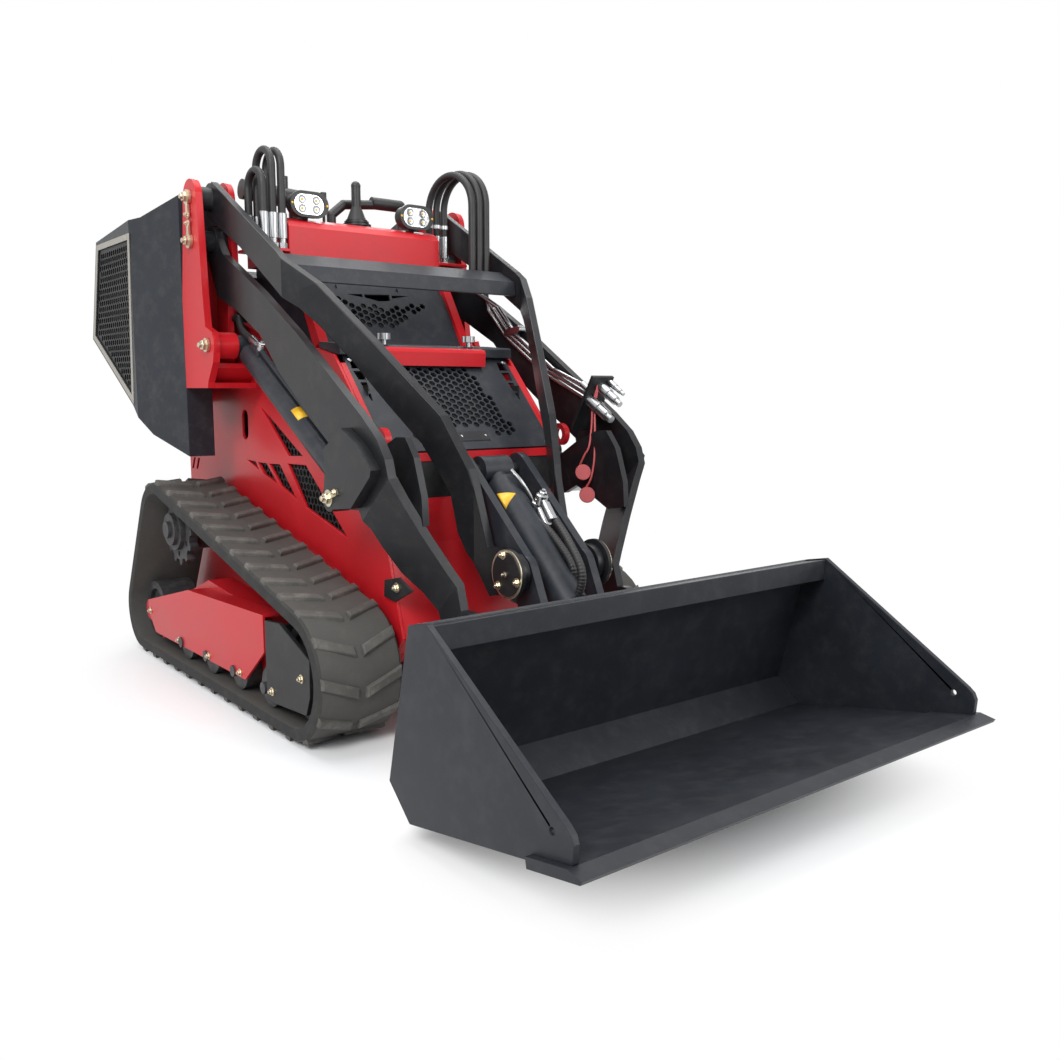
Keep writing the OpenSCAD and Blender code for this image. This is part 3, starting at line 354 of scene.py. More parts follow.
# Pins, as x and z: at the towers, at both ends of the lift cylinder and of the tilt cylinder, at the hitch
LOWER_TOWER_PIN, UPPER_TOWER_PIN = (-479, 1162), (-479, 1272)
FOOT_PIN, EYE_PIN = (-391, 893), (201, 546)
TILT_FOOT, TILT_EYE = (273, 593), (676, 206)
LOWER_HITCH_PIN, UPPER_HITCH_PIN = (499, 281), (499, 391)


def mm(x, y, z):
    return Vector((x, y, z)) / 1000


def slant(start, end):
    """The direction from one (x, z) to another, and the one square to it."""
    way = Vector((end[0] - start[0], 0, end[1] - start[1])).normalized()
    return way, Vector((-way.z, 0, way.x))


def skin(bm, rings, capped=True):
    """Faces from ring to ring, and over both ends."""
    for a, b in zip(rings, rings[1:]):
        for k in range(len(a)):
            n = (k + 1) % len(a)
            bm.faces.new((a[k], a[n], b[n], b[k]))
    if capped:
        bm.faces.new(list(reversed(rings[0])))
        bm.faces.new(rings[-1])


def lathe(bm, at, axis, profile, sides):
    """A turned form: its profile is a list of (distance along the axis, radius)."""
    way = Vector(axis).normalized().to_track_quat("Z", "Y").to_matrix()
    rings = []
    for along, radius in profile:
        ring = []
        for k in range(sides):
            a = 2 * math.pi * k / sides
            ring.append(bm.verts.new(at + way @ mm(radius * math.cos(a), radius * math.sin(a), along)))
        rings.append(ring)
    skin(bm, rings)


def bolt(bm, at, axis, r, washer=True):
    """Hex head on a washer, with the end of its thread."""
    base = 0
    if washer:
        lathe(bm, at, axis, [(0, r * 1.45), (1.8, r * 1.45), (WASHER_H, r * 1.38)], 28)
        base = WASHER_H
    lathe(bm, at, axis, [(base, r), (base + r * 0.62, r), (base + r * 0.75, r * 0.88)], 6)
    lathe(bm, at, axis, [(base + r * 0.7, r * 0.5), (base + r * 1.2, r * 0.5), (base + r * 1.3, r * 0.4)], 16)


def block(bm, at, ax, ay, az, sizes):
    """A block about a point, its edges along three directions, its top edges cut back."""
    x, y, z = [Vector(a).normalized() * s / 2000 for a, s in zip((ax, ay, az), sizes)]
    cut = [1 - BLOCK_CUT / v.length for v in (x, y)]
    rings = []
    for h, sx, sy in ((-1, 1, 1), (1 - BLOCK_CUT / z.length, 1, 1), (1, cut[0], cut[1])):
        rings.append([bm.verts.new(at + z * h + x * i * sx + y * j * sy)
                      for i, j in ((-1, -1), (1, -1), (1, 1), (-1, 1))])
    skin(bm, rings)


def plate(bm, outline, way, thick):
    """A flat plate from an outline of points in space, made thick along a direction."""
    shift = Vector(way).normalized() * thick / 1000
    skin(bm, [[bm.verts.new(p) for p in outline], [bm.verts.new(p + shift) for p in outline]])


def smooth_line(points, per=8):
    """Points on a smooth curve through the given ones."""
    pts = [Vector(p) for p in points]
    pts = [2 * pts[0] - pts[1]] + pts + [2 * pts[-1] - pts[-2]]
    line = []
    for i in range(1, len(pts) - 2):
        a, b, c, d = pts[i - 1:i + 3]
        for k in range(per):
            t = k / per
            line.append(0.5 * (2 * b + (c - a) * t + (2 * a - 5 * b + 4 * c - d) * t * t
                               + (3 * b - a - 3 * c + d) * t ** 3))
    line.append(pts[-2])
    return line


def sweep(bm, line, radius, sides, ridge=0.0):
    """A tube along a line, with ridges round it where asked."""
    if ridge:
        dense = []
        for a, b in zip(line, line[1:]):
            n = max(1, round((b - a).length / (RIDGE_PITCH / 4)))
            dense += [a.lerp(b, k / n) for k in range(n)]
        line = dense + [line[-1]]
    turns = [2 * math.pi * k / sides for k in range(sides)]
    side = None
    rings = []
    run = 0.0
    for i, p in enumerate(line):
        ahead = (line[min(i + 1, len(line) - 1)] - line[max(i - 1, 0)]).normalized()
        if side is None:
            side = ahead.orthogonal().normalized()
        side = (side - ahead * side.dot(ahead)).normalized()
        other = ahead.cross(side)
        if i:
            run += (p - line[i - 1]).length
        r = (radius + ridge * math.sin(2 * math.pi * run / RIDGE_PITCH)) / 1000
        rings.append([bm.verts.new(p + (side * math.cos(a) + other * math.sin(a)) * r) for a in turns])
    skin(bm, rings)


def done(bm, name, key, body, angle=30, bevel=0.0):
    """Turns the gathered mesh into a piece that rides on a body."""
    bmesh.ops.recalc_face_normals(bm, faces=bm.faces)
    mesh = bpy.data.meshes.new(name)
    bm.to_mesh(mesh)
    bm.free()
    mesh.shade_smooth()
    mesh.set_sharp_from_angle(angle=math.radians(angle))
    mesh.materials.append(MATERIALS[key])
    piece = add_object(name, mesh)
    if bevel:
        round_edges(piece, bevel)
    if body:
        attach(piece, body)
    return piece


def thicken(film):
    """Gives a film that follows a barrel its thickness."""
    film.modifiers.new("thick", "SOLIDIFY").thickness = FILM_THICK


# Towers: bolts with their keeper bars
TOWER_FACE = 424
bm = bmesh.new()
for s in SIDES:
    out = (0, s, 0)
    for (x, z), down in ((UPPER_TOWER_PIN, -1), (LOWER_TOWER_PIN, 1)):
        bolt(bm, mm(x, s * TOWER_FACE, z), out, 13, washer=False)
        block(bm, mm(x, s * (TOWER_FACE - 3), z + down * 27), X_WAY, Z_WAY, out, (13, 46, 7))
        bolt(bm, mm(x, s * (TOWER_FACE - 4), z + down * 44), out, 7)
    x, z = FOOT_PIN
    bolt(bm, mm(x, s * (TOWER_FACE - 1), z), out, 14, washer=False)
    block(bm, mm(x - 20, s * (TOWER_FACE - 4), z), X_WAY, Z_WAY, out, (40, 13, 6))
    bolt(bm, mm(x - 35, s * (TOWER_FACE - 5), z), out, 7)
done(bm, "tower_bolts", "zinc", "root")

# Track frames: bolts of the cover plates and of the idler plates
bm = bmesh.new()
for s in SIDES:
    for x, z in ((-792, 136), (-558, 93), (-338, 94), (-131, 96)):
        bolt(bm, mm(x, s * 468, z), (0, s, 0), 6.5)
    for x, z in ((60, 94), (215, 159)):
        bolt(bm, mm(x, s * 470, z), (0, s, 0), 7)
done(bm, "frame_bolts", "zinc", "root")


# Tracks: a smooth belt with low cleats in two rows that point forwards on the upper run
WHEELS = ((170, 158, 158), (-690, 385, 145), (-862, 125, 125))  # x, z and radius to the cleats' tips
TRACK_IN, TRACK_OUT = 278, 478
TRACK_MIDDLE = (TRACK_IN + TRACK_OUT) / 2
BELT_INSET = 10
BELT_THICK = 30
EDGE_DOWN, EDGE_ACROSS = 5, 6  # how far the belt's outer edges are cut back
CLEAT_ROWS = 34
CLEAT_W = 26
CLEAT_SLANT = 17
CLEAT_NEAR, CLEAT_FAR = 8, 97  # ends of a half bar, from the middle of the belt
CLEAT_ROOT = -4
ARC_CLEAT_H = 8
ARC_STEPS = 14
STRAIGHT_LENGTH = 60  # a longer step of the loop is a straight run


def run_angle(i):
    """Angle of the outward normal of the straight run from one wheel to the next."""
    (ax, az, ar), (bx, bz, br) = WHEELS[i], WHEELS[(i + 1) % 3]
    lean = math.asin((ar - br) / math.dist((ax, az), (bx, bz)))
    return math.atan2(bz - az, bx - ax) - math.pi / 2 + lean


def loop_line(inset):
    """The loop round the wheels, a way inside the tips."""
    line = []
    for i, (x, z, r) in enumerate(WHEELS):
        start, end = run_angle((i + 2) % 3), run_angle(i)
        end += 2 * math.pi * math.ceil((start - end) / (2 * math.pi))
        for k in range(ARC_STEPS + 1):
            a = start + (end - start) * k / ARC_STEPS
            line.append(Vector((x + (r - inset) * math.cos(a), z + (r - inset) * math.sin(a))))
    return line


def belt(bm, side):
    inner, edge = BELT_INSET + BELT_THICK, BELT_INSET + EDGE_DOWN
    rows = [(inner, TRACK_IN), (edge, TRACK_IN), (BELT_INSET, TRACK_IN + EDGE_ACROSS),
            (BELT_INSET, TRACK_OUT - EDGE_ACROSS), (edge, TRACK_OUT), (inner, TRACK_OUT)]
    rings = [[bm.verts.new(mm(p.x, side * y, p.y)) for p in loop_line(inset)] for inset, y in rows]
    skin(bm, rings + rings[:1], capped=False)


def cleat(bm, side, middle, way, out, height):
    """Two slanted half bars, each with its top drawn in."""
    for half in (-1, 1):
        rings = []
        for up_by, shrink in ((CLEAT_ROOT, 0), (height - 3, 1.5), (height, 4.5)):
            ring = []
            for end, edge in ((-1, -1), (-1, 1), (1, 1), (1, -1)):
                along = end * CLEAT_SLANT + edge * (CLEAT_W / 2 - shrink)
                across = (CLEAT_FAR if end > 0 else CLEAT_NEAR) - end * shrink
                p = middle + way * along + out * up_by
                ring.append(bm.verts.new(mm(p.x, side * (TRACK_MIDDLE + half * across), p.y)))
            rings.append(ring)
        skin(bm, rings)


base = loop_line(BELT_INSET)
steps = [(a, b, (b - a).length) for a, b in zip(base, base[1:] + base[:1])]
loop_length = sum(length for _, _, length in steps)
for s, name in zip(SIDES, ("track_r", "track_l")):
    bm = bmesh.new()
    belt(bm, s)
    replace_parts(done(bm, name + "_belt", "rubber", "root"), name)
    bm = bmesh.new()
    for row in range(CLEAT_ROWS):
        left = (row + 0.5) * loop_length / CLEAT_ROWS
        for a, b, length in steps:
            if left <= length:
                break
            left -= length
        way = (b - a) / length
        height = BELT_INSET if length > STRAIGHT_LENGTH else ARC_CLEAT_H
        cleat(bm, s, a + way * left, way, Vector((way.y, -way.x)), height)
    # the cleats' lighter rubber is a painted highlight
    done(bm, name + "_cleats", "cleat", "root")


# Sheets with hexagonal holes, finer than the solids carry
HEX_PITCH = 19.5
HEX_HOLE = 15.5
HEX_WAYS = [(math.sin(math.radians(60 * k)), math.cos(math.radians(60 * k))) for k in range(6)]


def within(p, outline):
    """Whether a point lies inside an outline."""
    inside = False
    for a, b in zip(outline, outline[1:] + outline[:1]):
        if (a[1] > p[1]) != (b[1] > p[1]) and p[0] < (b[0] - a[0]) * (p[1] - a[1]) / (b[1] - a[1]) + a[0]:
            inside = not inside
    return inside


def grown(outline, by):
    """A convex outline moved outwards."""
    middle = sum((Vector(p) for p in outline), Vector((0, 0))) / len(outline)
    made = []
    for k, p in enumerate(outline):
        before = (Vector(p) - Vector(outline[k - 1])).normalized()
        after = (Vector(outline[(k + 1) % len(outline)]) - Vector(p)).normalized()
        way = Vector((before.y + after.y, -before.x - after.x)) / (1 + before.dot(after))
        if way.dot(Vector(p) - middle) < 0:
            way = -way
        made.append(tuple(Vector(p) + way * by))
    return made


def hexagons(field, rim):
    """Staggered hexagons that lie inside a field, with a rim round each."""
    corner = HEX_HOLE / math.sqrt(3)
    row = HEX_PITCH * math.sqrt(3) / 2
    xs, ys = zip(*field)
    found = []
    for j in range(int((max(ys) - min(ys)) / row) + 1):
        for i in range(int((max(xs) - min(xs)) / HEX_PITCH) + 1):
            x, y = min(xs) + HEX_PITCH * (i + (j % 2) / 2), min(ys) + row * j
            if all(within((x + (corner + rim) * u, y + (corner + rim) * v), field) for u, v in HEX_WAYS):
                found.append([(x + corner * u, y + corner * v) for u, v in HEX_WAYS])
    return found


def pierced(bm, outline, cuts, place, thick):
    """A flat sheet with cuts through it, set in space by `place`."""
    coords, edges, ring_of = [], [], []
    for number, ring in enumerate([outline] + cuts):
        first = len(coords)
        coords += [Vector(p) for p in ring]
        edges += [(first + k, first + (k + 1) % len(ring)) for k in range(len(ring))]
        ring_of += [number] * len(ring)
    flat, _, faces, source, *_ = geometry.delaunay_2d_cdt(coords, edges, [], 1, 1e-6)
    # a triangle whose corners all lie on one cut fills that cut
    rings = [[ring_of[source[k][0]] for k in face] for face in faces]
    faces = [face for face, held in zip(faces, rings) if held[0] == 0 or len(set(held)) > 1]
    near = [bm.verts.new(place(p.x, p.y, 0)) for p in flat]
    far = [bm.verts.new(place(p.x, p.y, thick)) for p in flat]
    walls = set()
    for face in faces:
        bm.faces.new([near[k] for k in reversed(face)])
        bm.faces.new([far[k] for k in face])
        walls |= {(a, b) for a, b in zip(face, face[1:] + face[:1])}
    for a, b in walls:
        if (b, a) not in walls:
            bm.faces.new((near[a], near[b], far[b], far[a]))


def on_slope(low, high):
    """Places a sheet in the sloping plane from `low` up to `high`, its thickness inwards."""
    up_way, inward = slant(low, high)
    return lambda u, v, n: mm(low[0], v, low[1]) + up_way * u / 1000 + inward * n / 1000


def upright(side, y):
    """Places a sheet in the plane of one side, its thickness outwards."""
    return lambda u, v, n: mm(u, side * (y + n), v)


# Hood, as distances up its slope and across it
HOOD_LOW, HOOD_TOP = (205, 640), (0, 862)
HOOD_OUT = -slant(HOOD_LOW, HOOD_TOP)[1]
HOOD_HALF = 240
HOOD_LEN = math.dist(HOOD_LOW, HOOD_TOP)
HOOD_EDGE = [(0, -HOOD_HALF), (HOOD_LEN, -HOOD_HALF), (HOOD_LEN, HOOD_HALF), (0, HOOD_HALF)]
HOOD_FIELD = [(36, -162), (36, -40), (64, -40), (64, 70), (36, 70), (36, 162), (270, 112), (270, -112)]
HOOD_SLOTS = ((286, 258, 20, 27), (250, 222, 26, 19), (214, 186, 18, 11), (178, 156, 10, 4))
SHEET_THICK = 6
place_on_hood = on_slope(HOOD_LOW, HOOD_TOP)
bm = bmesh.new()
slots = []
for s in SIDES:
    y = s * (HOOD_HALF - 23)
    for top, foot, top_w, foot_w in HOOD_SLOTS:
        slots.append([(top, y - top_w / 2), (top, y + top_w / 2),
                      (foot, y + foot_w / 2), (foot, y - foot_w / 2)])
pierced(bm, HOOD_EDGE, slots + hexagons(HOOD_FIELD, 0), place_on_hood, SHEET_THICK)
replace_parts(done(bm, "hood_sheet", "dark", "root"), "hood")

# Upper grille, likewise, with hexagons that reach a little over the edge of their field
GRILLE_LOW, GRILLE_TOP = (-150, 897), (-246, 1052)
GRILLE_EDGE = [(0, -204), (170, -204), (170, -122), (184, -122), (184, -62), (170, -62),
               (170, 62), (184, 62), (184, 122), (170, 122), (170, 204), (0, 204)]
GRILLE_FIELD = [(150, -146), (138, -100), (122, 0), (138, 100), (160, 146),
                (110, 132), (92, 66), (50, 40), (50, -92), (100, -110)]
V_SLOTS = [[(154, -100), (157, -54), (146, -54)],
           [(156, -48), (160, 30), (140, 26), (136, -8), (146, -48)],
           [(158, 36), (160, 92), (148, 36)]]
place_on_grille = on_slope(GRILLE_LOW, GRILLE_TOP)
bm = bmesh.new()
pierced(bm, GRILLE_EDGE, V_SLOTS + hexagons(GRILLE_FIELD, -2), place_on_grille, SHEET_THICK)
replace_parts(done(bm, "grille_sheet", "dark", "root"), "upper_grille")

# Side screens and rear grilles
MESH_THICK = 3
SCREEN = [(-560, 600), (-450, 760), (-160, 640), (70, 480), (70, 400), (-180, 460), (-350, 510)]
bm = bmesh.new()
for s in SIDES:
    pierced(bm, SCREEN, hexagons(SCREEN, 5), upright(s, 251), MESH_THICK)
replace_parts(done(bm, "side_mesh", "black", "root"), "side_screens")

REAR_FACE = [(-757, 1190), (-1040, 1190), (-1118, 945), (-790, 765)]
bm = bmesh.new()
for s in SIDES:
    pierced(bm, grown(REAR_FACE, 6), hexagons(REAR_FACE, 4), upright(s, 483), MESH_THICK)
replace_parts(done(bm, "rear_mesh", "black", "root"), "rear_grilles")

# Light rim round each rear grille
RIM_Y, RIM_W, RIM_THICK = 490.1, 16, 1.2
RIM_EDGE = grown(REAR_FACE, RIM_W)
bm = bmesh.new()
for s in SIDES:
    for k in range(len(REAR_FACE)):
        n = (k + 1) % len(REAR_FACE)
        corners = (REAR_FACE[k], REAR_FACE[n], RIM_EDGE[n], RIM_EDGE[k])
        plate(bm, [mm(x, s * RIM_Y, z) for x, z in corners], (0, s, 0), RIM_THICK)
done(bm, "rear_rims", "pale", "root")

# Dark sheets behind the holes: painted shade that stands for the shaded space behind them
BEHIND = 26
SHADE_SHEET_THICK = 1.5
BEHIND_SCREEN = grown([(-560, 400), (-560, 780), (80, 780), (80, 400)], 10)
bm = bmesh.new()
for place, top, half, way in ((place_on_hood, 290, 225, (-1, 0, -1)),
                              (place_on_grille, 165, 190, (-1, 0, -0.6))):
    corners = ((8, -half), (top, -half), (top, half), (8, half))
    plate(bm, [place(u, v, BEHIND) for u, v in corners], way, SHADE_SHEET_THICK)
for s in SIDES:
    for y, outline in ((222, BEHIND_SCREEN), (452, REAR_FACE)):
        plate(bm, [mm(x, s * y, z) for x, z in outline], (0, -s, 0), SHADE_SHEET_THICK)
done(bm, "shade_sheets", "plastic", "root")

# Hood: blank plate with its two rivets, and the hood's own screws
BLANK_PLATE = ((24, -28), (24, 58), (54, 58), (54, -28))
PLATE_THICK = 1.2
bm = bmesh.new()
plate(bm, [place_on_hood(u, v, -0.2) for u, v in BLANK_PLATE], HOOD_OUT, PLATE_THICK)
done(bm, "hood_plate", "black", "root", bevel=0.0005)
bm = bmesh.new()
for v in (-20, 50):
    lathe(bm, place_on_hood(39, v, -PLATE_THICK), HOOD_OUT, [(0, 3.2), (1.4, 3.0), (2.2, 1.6)], 16)
for u in (12, 285):
    for s in SIDES:
        lathe(bm, place_on_hood(u, s * (HOOD_HALF - 12), 0), HOOD_OUT, [(0, 6.5), (2.5, 6.2), (4, 3.5)], 20)
done(bm, "hood_screws", "chrome", "root")

# Lamps: four reflector cups with bulbs behind each lens, and a small stud at each end of it
LAMP_Y, LAMP_Z = 163, 1257
CUP_X, BULB_X, STUD_X = -303.8, -303.6, -300
CUP = [(0, 11), (1.2, 11), (1.6, 10.2), (0.7, 8.2), (0.4, 5), (0.3, 3)]
CUP_PLACES = [(dy, dz) for dy in (-20, 20) for dz in (-11.5, 11.5)]
bm = bmesh.new()
for s in SIDES:
    for dy, dz in CUP_PLACES:
        lathe(bm, mm(CUP_X, s * LAMP_Y + dy, LAMP_Z + dz), X_WAY, CUP, 28)
done(bm, "lamp_cups", "chrome", "root", 50)
bm = bmesh.new()
for s in SIDES:
    for dy, dz in CUP_PLACES:
        lathe(bm, mm(BULB_X, s * LAMP_Y + dy, LAMP_Z + dz), X_WAY, [(0, 3.4), (1.2, 3.2), (2.0, 1.6)], 16)
    for dy in (-49.4, 49.4):
        lathe(bm, mm(STUD_X, s * LAMP_Y + dy, LAMP_Z), X_WAY, [(0, 3), (1.5, 2.8), (2, 1.5)], 12)
done(bm, "lamp_bulbs", "yellow", "root", 50)

# Blank films on the rear boxes
BOX_FILM = ((-1010, 330, 1220.2), (-1010, 400, 1220.2), (-900, 400, 1229), (-900, 330, 1229))
bm = bmesh.new()
for s in SIDES:
    plate(bm, [mm(x, s * y, z) for x, y, z in BOX_FILM], (-0.08, 0, 1), 0.6)
done(bm, "box_films", "yellow", "root")

# Blank films round the lift barrels
LIFT_Y = 317
LIFT_WAY, LIFT_UP = slant(FOOT_PIN, EYE_PIN)
LIFT_FILM_R, TILT_FILM_R = 0.0305, 0.0404
FILM_START, FILM_END = 355, 400
FILM_STEPS = 8


def lift_foot(side):
    return mm(FOOT_PIN[0], side * LIFT_Y, FOOT_PIN[1])


bm = bmesh.new()
for s in SIDES:
    rows = []
    for d in (FILM_START, FILM_END):
        row = []
        for k in range(FILM_STEPS + 1):
            t = math.radians(-20 + 70 * k / FILM_STEPS)
            way = LIFT_UP * math.cos(t) + Vector((0, s, 0)) * math.sin(t)
            row.append(bm.verts.new(lift_foot(s) + LIFT_WAY * d / 1000 + way * LIFT_FILM_R))
        rows.append(row)
    for k in range(FILM_STEPS):
        bm.faces.new((rows[0][k], rows[0][k + 1], rows[1][k + 1], rows[1][k]))
thicken(done(bm, "lift_films", "yellow", "lift_barrel_pair", 60))

# Lift cylinders: banjo fitting on the port block, and its hose from behind the tower
PORT = LIFT_WAY * 0.094
BANJO_WAY = Vector((-0.92, 0, 0.4))
bm = bmesh.new()
for s in SIDES:
    at = lift_foot(s) + PORT + LIFT_UP * 0.040
    lathe(bm, at, LIFT_UP, [(0, 11), (9, 11), (9, 9), (14, 9), (16, 7)], 20)
    bolt(bm, at + LIFT_UP * 0.014, LIFT_UP, 9, washer=False)
    lathe(bm, at + LIFT_UP * 0.006, BANJO_WAY, [(6, 8), (20, 8), (20, 11), (58, 11.5), (60, 10)], 20)
done(bm, "lift_banjos", "chrome", "lift_barrel_pair")
for s, side in zip(SIDES, ("r", "l")):
    bm = bmesh.new()
    at = lift_foot(s) + PORT + LIFT_UP * 0.046 + BANJO_WAY * 0.058
    line = smooth_line([at, at + Vector((-0.06, 0, 0.024)), mm(-440, s * 312, 966), mm(-500, s * 303, 962),
                        mm(-535, s * 296, 925)], 10)
    sweep(bm, line, 9.5, 14, 0.7)
    hose = done(bm, "lift_hose_" + side, "hose", None, 60)
    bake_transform(hose)

# Tilt cylinder: fittings, the hoses that curl below it, and its pipe
FITTING_WAY = Vector((0.35, 0, 0.93))
TILT_HOSES = {
    "tilt_hose_a": ((419, 25, 488), (478, 25, 450), (535, 25, 398), (530, 25, 353), (509, 0, 323),
                    (471, -30, 305), (431, -60, 321)),
    "tilt_hose_b": ((503, 0, 502), (548, 0, 460), (594, 0, 401), (587, 0, 350), (549, 0, 322),
                    (500, 0, 300)),
}
TILT_PIPE = ((347, 0, 598), (368, 18, 566), (372, 44, 520), (362, 52, 468), (404, 52, 424), (470, 40, 376))
bm = bmesh.new()
for at in (mm(404, 32, 520), mm(470, -8, 545)):
    lathe(bm, at, FITTING_WAY, [(-16, 11), (0, 11), (0, 14), (6, 14), (8, 11)], 20)
    bolt(bm, at + FITTING_WAY * 0.008, FITTING_WAY, 9.5, washer=False)
    lathe(bm, at, (0.62, 0.02, -0.78), [(8, 8), (18, 8), (18, 11), (58, 11.5), (60, 10)], 20)
done(bm, "tilt_fittings", "chrome", "tilt_barrel_body")
for name, points in TILT_HOSES.items():
    bm = bmesh.new()
    sweep(bm, smooth_line([mm(*p) for p in points]), 9, 14, 0.6)
    done(bm, name, "hose", "tilt_barrel_body", 60)
bm = bmesh.new()
sweep(bm, smooth_line([mm(*p) for p in TILT_PIPE]), 5.5, 12)
done(bm, "tilt_pipe", "chrome", "tilt_barrel_body", 60)

# Blank triangular film on the tilt barrel, its base along the barrel and its tip round it
TRIANGLE_MIDDLE, TRIANGLE_HALF = 107.5, 22.5
BASE_TURN, TIP_TURN = 70, 15
tilt_way, tilt_up = slant(TILT_FOOT, TILT_EYE)
bm = bmesh.new()
rows = []
for k in range(FILM_STEPS + 1):
    t = math.radians(BASE_TURN + (TIP_TURN - BASE_TURN) * k / FILM_STEPS)
    out = tilt_up * math.cos(t) + Vector((0, -1, 0)) * math.sin(t)
    half = TRIANGLE_HALF * (1 - k / FILM_STEPS) + 1
    middle = mm(TILT_FOOT[0], 0, TILT_FOOT[1]) + tilt_way * TRIANGLE_MIDDLE / 1000 + out * TILT_FILM_R
    rows.append([bm.verts.new(middle + tilt_way * end * half / 1000) for end in (-1, 1)])
for a, b in zip(rows, rows[1:]):
    bm.faces.new((a[0], a[1], b[1], b[0]))
thicken(done(bm, "tilt_film", "yellow", "tilt_barrel_body", 60))

# Hitch: rims, caps, bolts and grease nipples of the upper pins
x, z = UPPER_HITCH_PIN
bm = bmesh.new()
for s in SIDES:
    out = (0, s, 0)
    lathe(bm, mm(x, s * 126, z), out, [(0, 53.5), (1.6, 53.5), (2.2, 52.5)], 48)
    for dx, dz in ((-10, 41), (38, -12), (-28, -28)):
        bolt(bm, mm(x + dx, s * 129, z + dz), out, 7)
    lathe(bm, mm(x, s * 129, z), out, [(0, 6), (4, 6), (5, 3.5), (11, 3.2), (13, 2)], 12)
done(bm, "hitch_bolts", "zinc", "carrier")
bm = bmesh.new()
for s in SIDES:
    lathe(bm, mm(x, s * 127.5, z), (0, s, 0), [(0, 48), (1.5, 48), (2.4, 47)], 48)
done(bm, "hitch_caps", "black", "carrier")

# Lower lift arms: bent along slanted lines, with the cheek and the outer plate of the cylinder's clevis
ARM_OUTLINE = [(-470, 1205), (-400, 1124), (-179, 1016), (10, 911), (310, 724), (371, 679), (402, 640),
               (414, 603), (419, 561), (435, 479), (456, 398), (480, 322), (515, 320), (500, 245), (440, 245),
               (404, 282), (375, 349), (362, 365), (343, 392), (324, 449), (316, 487), (289, 526), (215, 520),
               (175, 548), (185, 611), (175, 654), (80, 712), (-85, 820), (-188, 913), (-325, 978),
               (-448, 1021), (-515, 1140)]
CHEEK = [(175, 548), (185, 611), (250, 648), (330, 680), (366, 681), (400, 640), (428, 560), (432, 500),
         (374, 490), (328, 512), (256, 540), (215, 520)]
DOUBLER = [(178, 560), (187, 611), (180, 650), (262, 700), (330, 668), (388, 618), (384, 604), (300, 532),
           (215, 522)]
BEND_WAY = Vector((0.656, 0, -0.755)).normalized()
# Each face of the plate: distance along the bend's way and from the middle, at its two bend lines
BENDS = {"inner": ((-187.0, 342.0), (20.0, 212.0)), "outer": ((-181.2, 362.0), (25.8, 232.0))}
# Sleeves: pin, inner end from the middle, radius, length, number of sides
SLEEVES = ((LOWER_TOWER_PIN, 341.8, 42, 20.4, 64), (LOWER_TOWER_PIN, 327, 30, 69, 48),
           (LOWER_HITCH_PIN, 211.8, 42, 20.4, 64),
           (EYE_PIN, 341.8, 30, 45, 48), (EYE_PIN, 275.8, 30, 16.4, 48))


def bent_y(along, face):
    (start, far_y), (end, near_y) = BENDS[face]
    share = min(1.0, max(0.0, (along - start) / (end - start)))
    return far_y + (near_y - far_y) * share


bm = bmesh.new()
for s in SIDES:
    arm = bmesh.new()
    plate(arm, [mm(x, 0, z) for x, z in ARM_OUTLINE], (0, 1, 0), 20)
    for face in ("inner", "outer"):
        for along, _ in BENDS[face]:
            bmesh.ops.bisect_plane(arm, geom=arm.verts[:] + arm.edges[:] + arm.faces[:], dist=1e-6,
                                   plane_co=BEND_WAY * along / 1000, plane_no=BEND_WAY)
    for v in arm.verts:
        face = "outer" if v.co.y > 0.01 else "inner"
        v.co.y = s * bent_y(v.co.dot(BEND_WAY) * 1000, face) / 1000
    bmesh.ops.triangulate(arm, faces=arm.faces[:])
    scratch = bpy.data.meshes.new("arm_side")
    arm.to_mesh(scratch)
    arm.free()
    bm.from_mesh(scratch)
    bpy.data.meshes.remove(scratch)
    for (x, z), y, radius, length, sides in SLEEVES:
        lathe(bm, mm(x, s * y, z), (0, s, 0), [(0, radius), (length, radius)], sides)
    for outline, y, thick in ((CHEEK, 276, 16), (DOUBLER, 362.1, 25)):
        plate(bm, [mm(x, s * y, z) for x, z in outline], (0, s, 0), thick)
arms = done(bm, "lift_arm_plates", "arm", "lift_arms", 20, 0.0015)
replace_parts(arms, "lower_arms")

# Lift arms: bolts and keeper bar of the cylinder's pin
x, z = EYE_PIN
bm = bmesh.new()
for s in SIDES:
    out = (0, s, 0)
    bolt(bm, mm(x, s * 387, z), out, 13)
    block(bm, mm(x + 25, s * 389.5, z + 10), (0.93, 0, 0.37), (-0.37, 0, 0.93), out, (38, 13, 5))
    bolt(bm, mm(x + 37, s * 391, z + 15), out, 6)
done(bm, "ear_bolts", "zinc", "lift_arms")

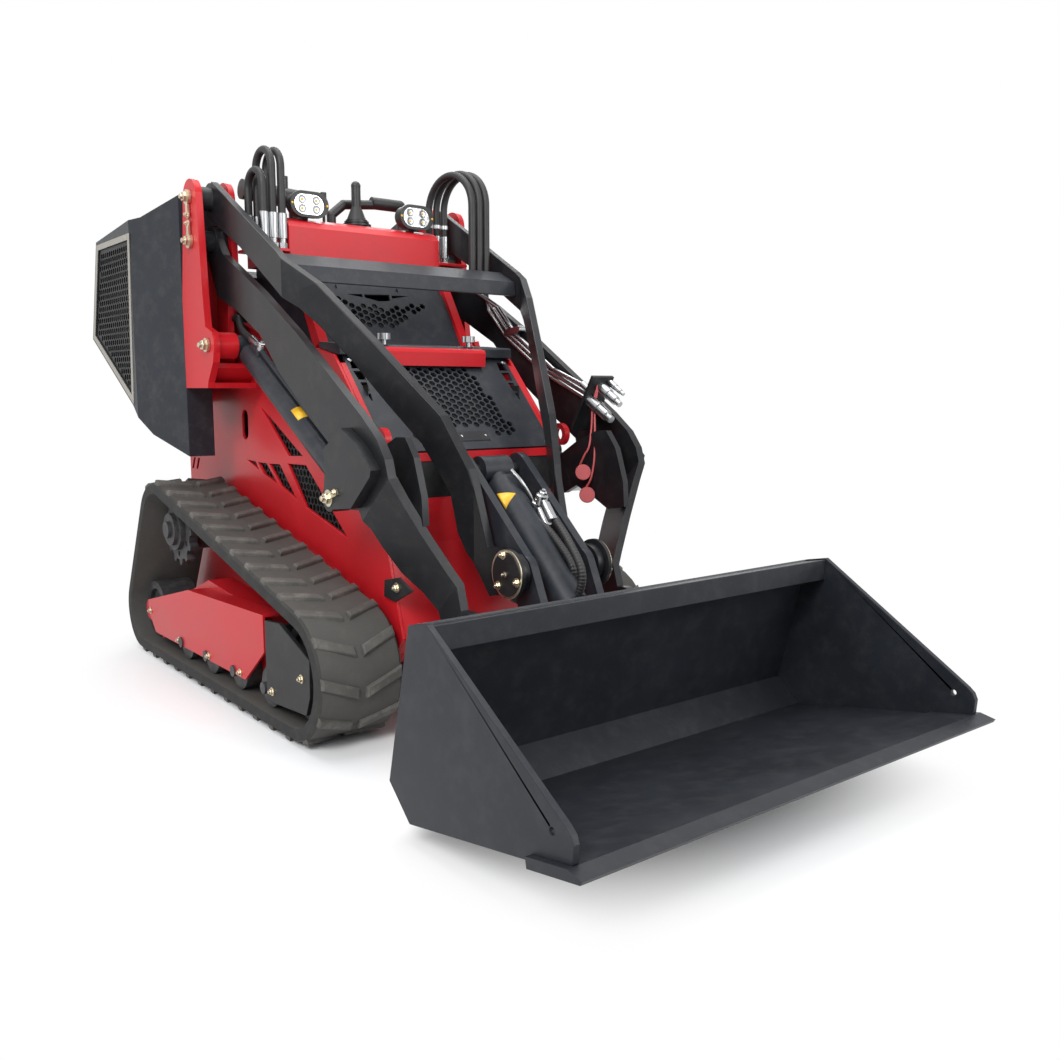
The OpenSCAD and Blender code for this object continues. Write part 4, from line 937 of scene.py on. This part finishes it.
# Coupler caps on the left arm, on their lanyards
LANYARDS = (
    ((284, 262, 590), (300, 264, 618), (311, 270, 641), (306, 282, 690), (303, 288, 742), (312, 296, 790)),
    ((302, 262, 532), (322, 266, 560), (326, 274, 610), (316, 284, 680), (309, 290, 740), (314, 297, 788)),
)
bm = bmesh.new()
for x, z in ((298, 576), (314, 521)):
    lathe(bm, mm(x, 262, z), (0.75, -0.62, 0.1), [(-9, 9), (-7, 17), (-4, 19), (5, 20), (8, 18.5)], 32)
done(bm, "dust_caps", "cap", "lift_arms", 40)
bm = bmesh.new()
for points in LANYARDS:
    sweep(bm, smooth_line([mm(*p) for p in points]), 2.6, 8)
done(bm, "lanyards", "cap", "lift_arms", 60)

# Belly: brackets beside the nose, and their bolts
BRACKET = ((230, 356), (290, 370), (346, 347), (274, 313), (226, 318))
BRACKET_Y, BRACKET_THICK = 262.2, 7
bm = bmesh.new()
for s in SIDES:
    plate(bm, [mm(x, s * BRACKET_Y, z) for x, z in BRACKET], (0, s, 0), BRACKET_THICK)
done(bm, "nose_brackets", "black", "root", bevel=0.001)
bm = bmesh.new()
for s in SIDES:
    bolt(bm, mm(284, s * (BRACKET_Y + BRACKET_THICK), 346), (0, s, 0), 8)
done(bm, "nose_bolts", "zinc", "root")

# Hoses from the console to the left arm: both ends as x and y, and the loop's top
HOSE_RUNS = (((-380, 305), (-195, 324), 1396), ((-380, 279), (-195, 300), 1396),
             ((-380, 253), (-195, 276), 1390))
HOSE_R = 10
CRIMP_Z = 1225
HOSE_END_Z = 1100.2
RISE_STEPS, LOOP_STEPS, FALL_STEPS = 4, 24, 10
bm = bmesh.new()
for a, b, top in HOSE_RUNS:
    half = math.dist(a, b) / 2
    level = top - HOSE_R - half
    start, end = mm(*a, 0), mm(*b, 0)
    middle, reach = (start + end) / 2, (start - end) / 2
    line = [start + mm(0, 0, CRIMP_Z + (level - CRIMP_Z) * k / RISE_STEPS) for k in range(RISE_STEPS)]
    for k in range(LOOP_STEPS + 1):
        t = math.pi * k / LOOP_STEPS
        line.append(middle + reach * math.cos(t) + mm(0, 0, level + half * math.sin(t)))
    for k in range(1, FALL_STEPS + 1):
        line.append(end + mm(0, 0, level + (HOSE_END_Z - level) * k / FALL_STEPS))
    sweep(bm, line, HOSE_R, 20)
hoses = done(bm, "arm_hose_loops", "hose", None, 60)
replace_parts(hoses, "arm_hoses")
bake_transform(hoses)
bm = bmesh.new()
for (x, y), _, _ in HOSE_RUNS:
    lathe(bm, mm(x, y, 1246), Z_WAY, [(0, 10.2), (0, 12), (10, 12), (10, 10.2)], 24)
done(bm, "hose_bands", "silver", "root", 40)
